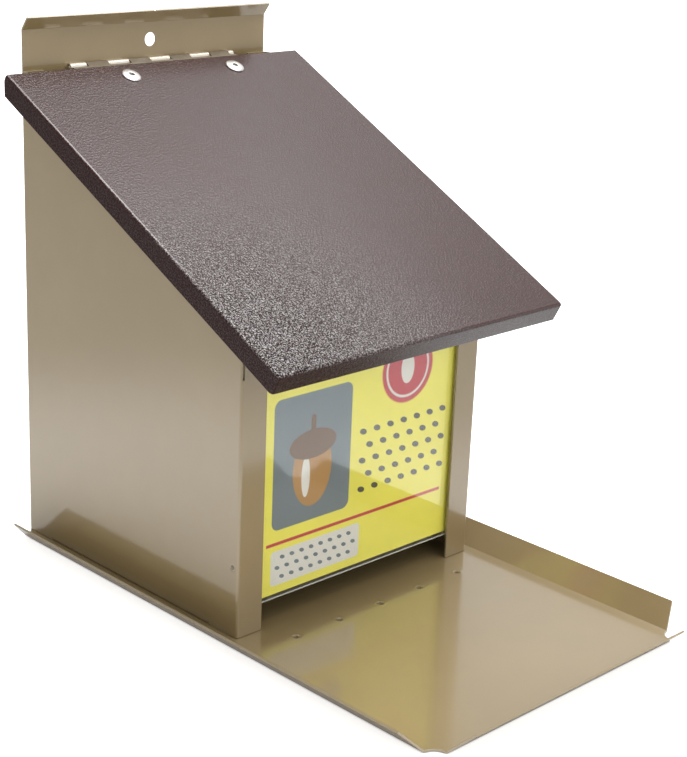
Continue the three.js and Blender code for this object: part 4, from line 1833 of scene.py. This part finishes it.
@dataclass
class ContinuousHinge:
    """Two curled leaves that turn on one pin, cut from longer stock.

    Attributes:
        length: The hinge's length.
        knuckle: The length of a whole knuckle.
        first_knuckle: The length of the cut one at the left end.
        side_gap: How much a knuckle is shortened where it meets the next.
        leaf_width: How far the leaves reach from the pin's axis.
        curl: How far a knuckle is curled, in degrees.
        slot_depth: How far from the axis the slots between knuckles end.
        pin_radius: The pin's radius.
        pin_crown: The height of its rounded ends.
        work: How the leaves are made.
    """

    length: float = 101.6
    knuckle: float = 12.7
    first_knuckle: float = 9.4
    side_gap: float = 0.15
    leaf_width: float = 20.0
    curl: float = 288.0
    slot_depth: float = 3.0
    pin_radius: float = 1.15
    pin_crown: float = 0.4
    work: SheetWork = field(default_factory=lambda: SheetWork(LEAF_SHEET, 0.1))

    def build(self) -> list[bpy.types.Object]:
        """Builds and dresses both leaves and the pin.

        Returns:
            The three pieces.
        """
        up = Vector((0.0, 0.0, 1.0))
        back = Vector((0.0, 1.0, 0.0))
        fixed = self._leaf("hinge_back_leaf_sheet", ZINC, 0, up, -back, AT_HINGE)
        register(fixed, "hinge_back_leaf", HOUSING)
        turning = self._leaf("hinge_lid_leaf_sheet", DARKER_ZINC, 1, back, -up, ON_LID)
        register(turning, "hinge_lid_leaf", LID)
        pin = self._pin()
        register(pin, "hinge_pin", HOUSING)
        return [fixed, turning, pin]

    def _spans(self, first: int) -> list[tuple[float, float]]:
        """Returns the stretches along the hinge where a leaf has its knuckles.

        Args:
            first: 0 for the leaf with the cut end knuckle, 1 for the other.

        Returns:
            The start and end of each knuckle.
        """
        half = self.length / 2
        edges = [-half]
        x = -half + self.first_knuckle
        while x < half:
            edges.append(x)
            x += self.knuckle
        edges.append(half)
        spans = []
        for i in range(first, len(edges) - 1, 2):
            low = edges[i] + (self.side_gap if i else 0.0)
            high = edges[i + 1] - (self.side_gap if i < len(edges) - 2 else 0.0)
            spans.append((low, high))
        return spans

    def _leaf(
        self, name: str, finish: Finish, first: int, ahead: Vector, inside: Vector, place: Matrix
    ) -> bpy.types.Object:
        """Walks one leaf from its free edge up to its knuckles and curls them.

        Args:
            name: The piece's name.
            finish: Its finish.
            first: Which knuckles it takes.
            ahead: The way from its free edge to the pin.
            inside: The way its knuckles curl.
            place: Where the pin's axis lies.

        Returns:
            The finished leaf.
        """
        bm = bmesh.new()
        half = Vector((self.length / 2, 0.0, 0.0))
        free = -inside * KNUCKLE_OUTSIDE - ahead * self.leaf_width
        plate = Fold(bm, first_edge(bm, free - half, free + half), ahead.copy(), inside.copy())
        plate.flat(self.leaf_width - self.slot_depth)
        spans = self._spans(first)
        for x in {x for span in spans for x in span if abs(x) < self.length / 2}:
            score(bm, (x, 0.0, 0.0), (1.0, 0.0, 0.0))
        root = -inside * KNUCKLE_OUTSIDE - ahead * self.slot_depth
        for low, high in spans:
            edge = edge_at(bm, root + Vector(((low + high) / 2, 0.0, 0.0)))
            knuckle = Fold(bm, edge, ahead.copy(), inside.copy())
            knuckle.flat(self.slot_depth).bend(self.curl, KNUCKLE_OUTSIDE)
        face_outwards(bm, -inside, free + ahead * self.leaf_width / 2)
        tools = bmesh.new()
        for x in RIVET_X:
            hole = -ahead * RIVET_FROM_AXIS - inside * KNUCKLE_OUTSIDE
            drill(tools, (x, hole.y, hole.z), "Y" if inside.y else "Z", RIVET_HOLE)
        return self.work.finish(bm, name, finish, place, tools)

    def _pin(self) -> bpy.types.Object:
        """Turns the pin, with its ends rounded over.

        Returns:
            The finished pin.
        """
        bm = bmesh.new()
        half = self.length / 2
        turns = (0.0, 0.5, 1.0, math.pi / 2)
        crown = [(self.pin_radius * math.sin(t), self.pin_crown * math.cos(t)) for t in turns]
        profile = [(radius, half - self.pin_crown + rise) for radius, rise in crown]
        profile += [(radius, -along) for radius, along in reversed(profile)]
        turned(bm, profile, (1.0, 0.0, 0.0), 24)
        pin = laid_out(bm, "hinge_pin_wire", AT_HINGE)
        pin.data.materials.append(ZINC.material())
        settle(pin)
        return pin


@dataclass
class BlindRivet:
    """A domed blind rivet: its head, the pit of the pulled stem and the bulb behind.

    Attributes:
        grip: The thickness of what it holds.
        head: The radius of its head.
        head_height: How tall the head is.
        pit: The radius of the pit in it.
        pit_depth: How deep the pit is.
        stem: The stem's radius.
        shank: The shank's radius.
        bulb: The radius of the bulb at its widest.
        tail: How far the rivet reaches behind what it holds.
        eased: How far the edges of the pit and the head are broken.
        pit_draw: How much narrower the pit is at its bottom.
        pit_rim: How wide its broken edge is.
        land: How wide the flat ring round it is.
        brim: How thick the head's edge is, as a share of its height.
        waist: The radius of the bulb's ends, as a share of the shank's.
        fullness: The power of the bulb's curve, which is fuller the lower it is.
        bulb_set: How far behind what the rivet holds the bulb begins.
        neck: How far before the tail's end it stops.
        rounds: How many steps the curves have.
    """

    grip: float
    head: float = 4.8
    head_height: float = 1.1
    pit: float = 1.3
    pit_depth: float = 0.85
    stem: float = 1.05
    shank: float = 2.35
    bulb: float = 3.4
    tail: float = 3.6
    eased: float = 0.08
    pit_draw: float = 0.05
    pit_rim: float = 0.1
    land: float = 0.3
    brim: float = 0.14
    waist: float = 0.9
    fullness: float = 0.6
    bulb_set: float = 0.1
    neck: float = 0.4
    rounds: int = 8

    def build(self, name: str, node: str, body: str, place: Matrix) -> bpy.types.Object:
        """Builds and dresses the rivet.

        Args:
            name: The piece's name.
            node: The CAD node that it stands for.
            body: The body that carries it.
            place: Where its head seats, with its head along Z.

        Returns:
            The finished rivet.
        """
        bm = bmesh.new()
        turned(bm, self._profile(), (0.0, 0.0, 1.0))
        for face in bm.faces:
            middle = face.calc_center_bounds()
            face.material_index = int(middle.xy.length < self.pit + 0.01 and middle.z > 0)
        rivet = laid_out(bm, name, place)
        for finish in (ALUMINIUM, STEM_STEEL):
            rivet.data.materials.append(finish.material())
        settle(rivet)
        register(rivet, node, body)
        return rivet

    def _profile(self) -> list[tuple[float, float]]:
        """Draws the profile from the stem's end, over the head and down to the tail.

        Returns:
            Distance from the axis and height over the seat, point by point.
        """
        top = self.head_height
        bottom = top - self.pit_depth
        profile = [
            (0.0, bottom + self.eased),
            (self.stem * 0.7, bottom),
            (self.pit - self.pit_draw, bottom),
            (self.pit, top - self.eased),
            (self.pit + self.pit_rim, top),
        ]
        flat = self.pit + self.land
        for i in range(self.rounds + 1):
            turn = math.radians(90) * i / self.rounds
            radius = flat + (self.head - flat) * math.sin(turn)
            profile.append((radius, self.brim * top + (1.0 - self.brim) * top * math.cos(turn)))
        profile += [
            (self.head - self.eased, 0.0),
            (self.shank, 0.0),
            (self.shank, -self.grip),
        ]
        slim = self.shank * self.waist
        length = self.tail - self.bulb_set - self.neck
        for i in range(self.rounds + 1):
            turn = math.pi * i / self.rounds
            swell = slim + (self.bulb - slim) * math.sin(turn) ** self.fullness
            profile.append((swell, -self.grip - self.bulb_set - length * i / self.rounds))
        profile += [(self.stem, -self.grip - self.tail), (0.0, -self.grip - self.tail)]
        return profile


@dataclass
class LidPan:
    """The lid: a shallow pan with skirts on three sides, open at the hinge.

    Attributes:
        width: The lid's width.
        length: Its length along the slope.
        from_axis: How far in front of the pin its rear edge lies.
        skirt: How tall the skirts are.
        corner_radius: The radius of the front corners.
        clip_start: How far down the clip at the skirts' rear ends begins.
        clip_set: How far forward it reaches at their lower edge.
    """

    width: float = 181.0
    length: float = 212.5
    from_axis: float = 5.8
    skirt: float = 9.7
    corner_radius: float = 1.8
    clip_start: float = 3.3
    clip_set: float = 3.2

    def build(self) -> bpy.types.Object:
        """Builds and dresses the lid.

        Returns:
            The finished piece.
        """
        bm = bmesh.new()
        back = -self.from_axis
        front = back - self.length
        low = LID_TOP - self.skirt
        half = self.width / 2
        mill(bm, (-half, front, low), (half, back, LID_TOP))
        posts = [edge_at(bm, (side.value * half, front, (low + LID_TOP) / 2)) for side in Side]
        self._round(bm, posts, self.corner_radius)
        for normal in ((0.0, 0.0, -1.0), (0.0, 1.0, 0.0)):
            bmesh.ops.delete(bm, geom=facing(bm, normal), context="FACES")
        joined = [e for e in bm.edges if len(e.link_faces) == 2]
        rim = [e for e in joined if all(v.co.z > LID_TOP - 0.01 for v in e.verts)]
        self._round(bm, rim, OUTSIDE_BEND)
        clip = Vector((0.0, self.skirt - self.clip_start, -self.clip_set))
        for side in Side:
            skirt = facing(bm, (side.value, 0.0, 0.0))
            score(bm, (0.0, back, LID_TOP - self.clip_start), clip, skirt, clear=True)
        face_outwards(bm, Vector((0.0, 0.0, 1.0)), (0.0, (front + back) / 2, LID_TOP))
        tools = bmesh.new()
        for x in RIVET_X:
            drill(tools, (x, -RIVET_FROM_AXIS, LID_TOP), "Z", RIVET_HOLE)
        piece = SheetWork().finish(bm, "lid_pan_sheet", LID_PAINT, ON_LID, tools)
        register(piece, "lid_panel", LID)
        return piece

    def _round(self, bm: BMesh, edges: list[BMEdge], radius: float) -> None:
        """Rounds edges over to a radius."""
        bmesh.ops.bevel(
            bm, geom=edges, offset=radius, offset_type="OFFSET", segments=7, profile=0.5, affect="EDGES",
            clamp_overlap=False, material=-1,
        )


# Studio


@dataclass(frozen=True)
class PhotoCamera:
    """The camera that took the photograph, as solved from its edges and corners.

    Attributes:
        place: Where it stands, in metres.
        heading: Which way it looks, in degrees from +Y towards +X.
        pitch: How far it looks up, in degrees.
        roll: How far it is turned about its line of sight, in degrees.
        focal_px: Its focal length in pixels.
        picture: The photograph's width and height in pixels.
        sensor: The sensor's height, in millimetres.
    """

    place: tuple[float, float, float] = (-0.52827, -0.52500, 0.35070)
    heading: float = 45.026
    pitch: float = -18.28
    roll: float = 2.379
    focal_px: float = 1699.08
    picture: tuple[int, int] = (687, 757)
    sensor: float = 36.0

    def build(self) -> bpy.types.Object:
        """Makes the camera and hands it to the scene.

        Returns:
            The camera.
        """
        data = bpy.data.cameras.new("photo_camera")
        data.sensor_fit = "VERTICAL"
        data.sensor_height = self.sensor
        data.sensor_width = self.sensor
        data.lens = self.focal_px * self.sensor / self.picture[1]
        data.clip_start = 0.01
        camera = bpy.data.objects.new("photo_camera", data)
        turns = (
            Matrix.Rotation(math.radians(-self.heading), 4, "Z")
            @ Matrix.Rotation(math.radians(90 + self.pitch), 4, "X")
            @ Matrix.Rotation(math.radians(self.roll), 4, "Z")
        )
        camera.matrix_world = Matrix.Translation(self.place) @ turns
        bpy.context.scene.collection.objects.link(camera)
        bpy.context.scene.camera = camera
        return camera


@dataclass(frozen=True)
class SoftBox:
    """A rectangular studio lamp that looks at a point.

    Attributes:
        name: Its name.
        place: Where it hangs, in metres.
        target: The point.
        size: Its width and height, in metres.
        watts: Its power.
    """

    name: str
    place: tuple[float, float, float]
    target: tuple[float, float, float]
    size: tuple[float, float]
    watts: float

    def build(self) -> None:
        """Hangs the lamp."""
        data = bpy.data.lights.new(self.name, "AREA")
        data.shape = "RECTANGLE"
        data.size, data.size_y = self.size
        data.energy = self.watts
        lamp = bpy.data.objects.new(self.name, data)
        away = Vector(self.place) - Vector(self.target)
        lamp.matrix_world = Matrix.Translation(self.place) @ away.to_track_quat("Z", "Y").to_matrix().to_4x4()
        bpy.context.scene.collection.objects.link(lamp)


@dataclass(frozen=True)
class Studio:
    """A white floor and sky with four soft boxes, the largest of them overhead.

    Its measures are in metres.

    Attributes:
        floor_half: Half the floor's width.
        floor_drop: How far it lies under the feeder.
        paper: How much light the floor gives back.
        glow: What is added to it where it is seen, so that it is white in the open.
        open_edge: Between which distances outside the footprint that begins. They are below 0, as the
            flanges stand clear of the floor.
        horizon: How many times as much is added far away, where the lamps don't reach.
        lit: Between which distances from the image's centre that begins.
        sheen: What is added to the floor's mirror image beside the feeder.
        sheen_width: How far beside the feeder it is all there.
        fade: Where that image starts to darken and where it ends.
        far: How much of it is left there.
        footprint: Half the width and depth of the floor that the feeder hides.
        sky: The strength of the sky as a light.
        zenith: The strength of its mirror image high up.
        rise: Between which heights of the mirrored direction the image falls to that.
        bloom: What is added to that image about one direction, as from a large lit sheet.
        bloom_at: That direction.
        bloom_fade: Between which distances from it that fades.
        curtain: How much of the image is left on the left, where the studio is dark.
        curtain_edge: Between which places of the mirrored direction to the left it darkens.
        image_centre: The middle of the floor's mirror image, from which it fades.
        lamps: The soft boxes.
    """

    floor_half: float = 7.0
    floor_drop: float = 0.0002
    paper: float = 0.92
    glow: float = 0.7
    open_edge: tuple[float, float] = (-0.0125, -0.0095)
    horizon: float = 2.0
    lit: tuple[float, float] = (0.4, 2.0)
    sheen: float = 0.22
    sheen_width: float = 0.06
    fade: tuple[float, float] = (0.2, 0.42)
    far: float = 0.46
    footprint: tuple[float, float] = (0.0925, 0.1495)
    sky: float = 0.6
    zenith: float = 0.27
    rise: tuple[float, float] = (0.36, 0.66)
    bloom: float = 1.0
    bloom_at: tuple[float, float, float] = (0.63, 0.3, 0.71)
    bloom_fade: tuple[float, float] = (0.05, 0.17)
    curtain: float = 0.4
    curtain_edge: tuple[float, float] = (-0.5, -0.2)
    image_centre: tuple[float, float, float] = (-0.06, 0.06, 0.0)
    lamps: tuple[SoftBox, ...] = (
        SoftBox("overhead_soft_box", (0.3, -0.15, 1.6), (0.0, 0.0, 0.1), (1.4, 1.2), 25.0),
        SoftBox("side_soft_box", (1.0, 0.4, 1.3), (0.0, 0.05, 0.19), (0.8, 0.6), 0.9),
        SoftBox("front_soft_box", (-0.1, -1.45, 0.62), (0.0, -0.01, 0.08), (1.0, 0.6), 3.2),
        SoftBox("left_soft_box", (-1.7, -0.1, 0.7), (-0.08, 0.05, 0.1), (0.9, 0.7), 2.1),
    )

    def build(self) -> None:
        """Sets up the floor, the sky, the lamps and the colour handling."""
        bpy.context.scene.view_settings.view_transform = "Standard"
        self._floor()
        self._sky()
        for lamp in self.lamps:
            lamp.build()

    def _floor(self) -> None:
        """Lays the floor, which keeps the feeder's shadow and is white where it is open."""
        bm = bmesh.new()
        bmesh.ops.create_grid(
            bm, x_segments=1, y_segments=1, size=self.floor_half,
            matrix=Matrix.Translation((0.0, 0.0, -self.floor_drop)),
        )
        floor = laid_out(bm, "studio_floor", Matrix.Identity(4))
        material = bpy.data.materials.new("studio_floor_white")
        material.use_nodes = True
        board = Board(material.node_tree)
        place = board.add("TexCoord").outputs["Object"]
        beside = self._beside(board, place)
        radius = board.distance(place, self.image_centre)
        path = board.add("LightPath").outputs
        dim = board.math("MULTIPLY", path["Is Glossy Ray"], board.ramp(radius, *self.fade))
        near = (self.paper, self.paper, self.paper, 1.0)
        paper = board.add("BsdfDiffuse", {"Color": board.blend(dim, near, shade(near, self.far))})
        direct = board.math("MAXIMUM", path["Is Camera Ray"], path["Is Transmission Ray"])
        level = board.ramp(radius, *self.lit, (self.glow, self.glow * self.horizon))
        open_floor = board.math("MULTIPLY", level, board.ramp(beside, *self.open_edge))
        straight = board.math("MULTIPLY", direct, open_floor)
        sheen = board.ramp(beside, 0.0, self.sheen_width, (0.0, self.sheen))
        clear = board.math("MULTIPLY", sheen, path["Is Glossy Ray"])
        mirrored = board.math("MULTIPLY", clear, board.ramp(radius, *self.fade, (1.0, self.far)))
        strength = board.math("ADD", straight, mirrored)
        glow = board.add("Emission", {"Color": (1.0, 1.0, 1.0, 1.0), "Strength": strength})
        both = board.add("AddShader", {0: paper.outputs[0], 1: glow.outputs[0]})
        board.add("OutputMaterial", {"Surface": both.outputs[0]})
        floor.data.materials.append(material)

    def _beside(self, board: Board, place: NodeSocket) -> NodeSocket:
        """Measures how far a point of the floor lies outside the feeder's footprint.

        Args:
            board: The floor's material.
            place: Its coordinates.

        Returns:
            The distance, below 0 inside the footprint.
        """
        axes = board.axes(place)
        past = [
            board.math("SUBTRACT", board.math("ABSOLUTE", axes[name]), half)
            for name, half in zip(("X", "Y"), self.footprint)
        ]
        return board.math("MAXIMUM", *past)

    def _sky(self) -> None:
        """Makes the sky: white where it is seen, softer as a light and in mirrors high up."""
        world = bpy.data.worlds.new("studio_sky")
        world.use_nodes = True
        bpy.context.scene.world = world
        board = Board(world.node_tree)
        path = board.add("LightPath").outputs
        direct = board.math("MAXIMUM", path["Is Camera Ray"], path["Is Transmission Ray"])
        ray = board.add("TexCoord").outputs["Generated"]
        axes = board.axes(ray)
        aside = board.distance(ray, self.bloom_at)
        high = board.ramp(axes["Z"], *self.rise, (1.0, self.zenith))
        bloom = board.ramp(aside, *self.bloom_fade, (self.bloom, 0.0))
        curtain = board.ramp(axes["X"], *self.curtain_edge, (self.curtain, 1.0))
        image = board.math("MULTIPLY", board.math("ADD", high, bloom), curtain)
        mirrored = board.math("MULTIPLY", path["Is Glossy Ray"], image)
        seen = board.math("MAXIMUM", direct, mirrored)
        backdrop = board.add("Background", {"Color": (1.0, 1.0, 1.0, 1.0), "Strength": seen})
        light = board.add("Background", {"Color": (1.0, 1.0, 1.0, 1.0), "Strength": self.sky})
        looked_at = board.math("MAXIMUM", direct, path["Is Glossy Ray"])
        mix = board.add("MixShader", {0: looked_at, 1: light.outputs[0], 2: backdrop.outputs[0]})
        board.add("OutputWorld", {"Surface": mix.outputs[0]})


def rivets() -> None:
    """Sets the four rivets: two through the lid and two through the wall."""
    play = 0.15
    lid_grip = LID_TOP - (KNUCKLE_OUTSIDE - LEAF_SHEET) + 2 * play
    back_grip = SHEET + LEAF_OFF_WALL + LEAF_SHEET
    outwards = Matrix.Rotation(math.radians(-90), 4, "X")
    for side, x in zip(Side, RIVET_X):
        word = side.name.lower()
        on_lid = ON_LID @ Matrix.Translation((x, -RIVET_FROM_AXIS, LID_TOP + play))
        BlindRivet(lid_grip).build(f"lid_rivet_{word}_turned", f"lid_rivet_{word}", LID, on_lid)
        on_wall = DATUM @ Matrix.Translation((x, 0.0, HINGE_HEIGHT - RIVET_FROM_AXIS)) @ outwards
        BlindRivet(back_grip).build(f"back_rivet_{word}_turned", f"back_rivet_{word}", HOUSING, on_wall)


def main() -> None:
    """Builds the feeder in order."""
    logging.basicConfig(level=logging.INFO, format="%(message)s")
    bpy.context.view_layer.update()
    PhotoCamera().build()
    Studio().build()
    TrayAndBack().build()
    for side in Side:
        HopperSide(side).build()
    Window().build()
    ContinuousHinge().build()
    LidPan().build()
    rivets()


if __name__ == "__main__":
    main()
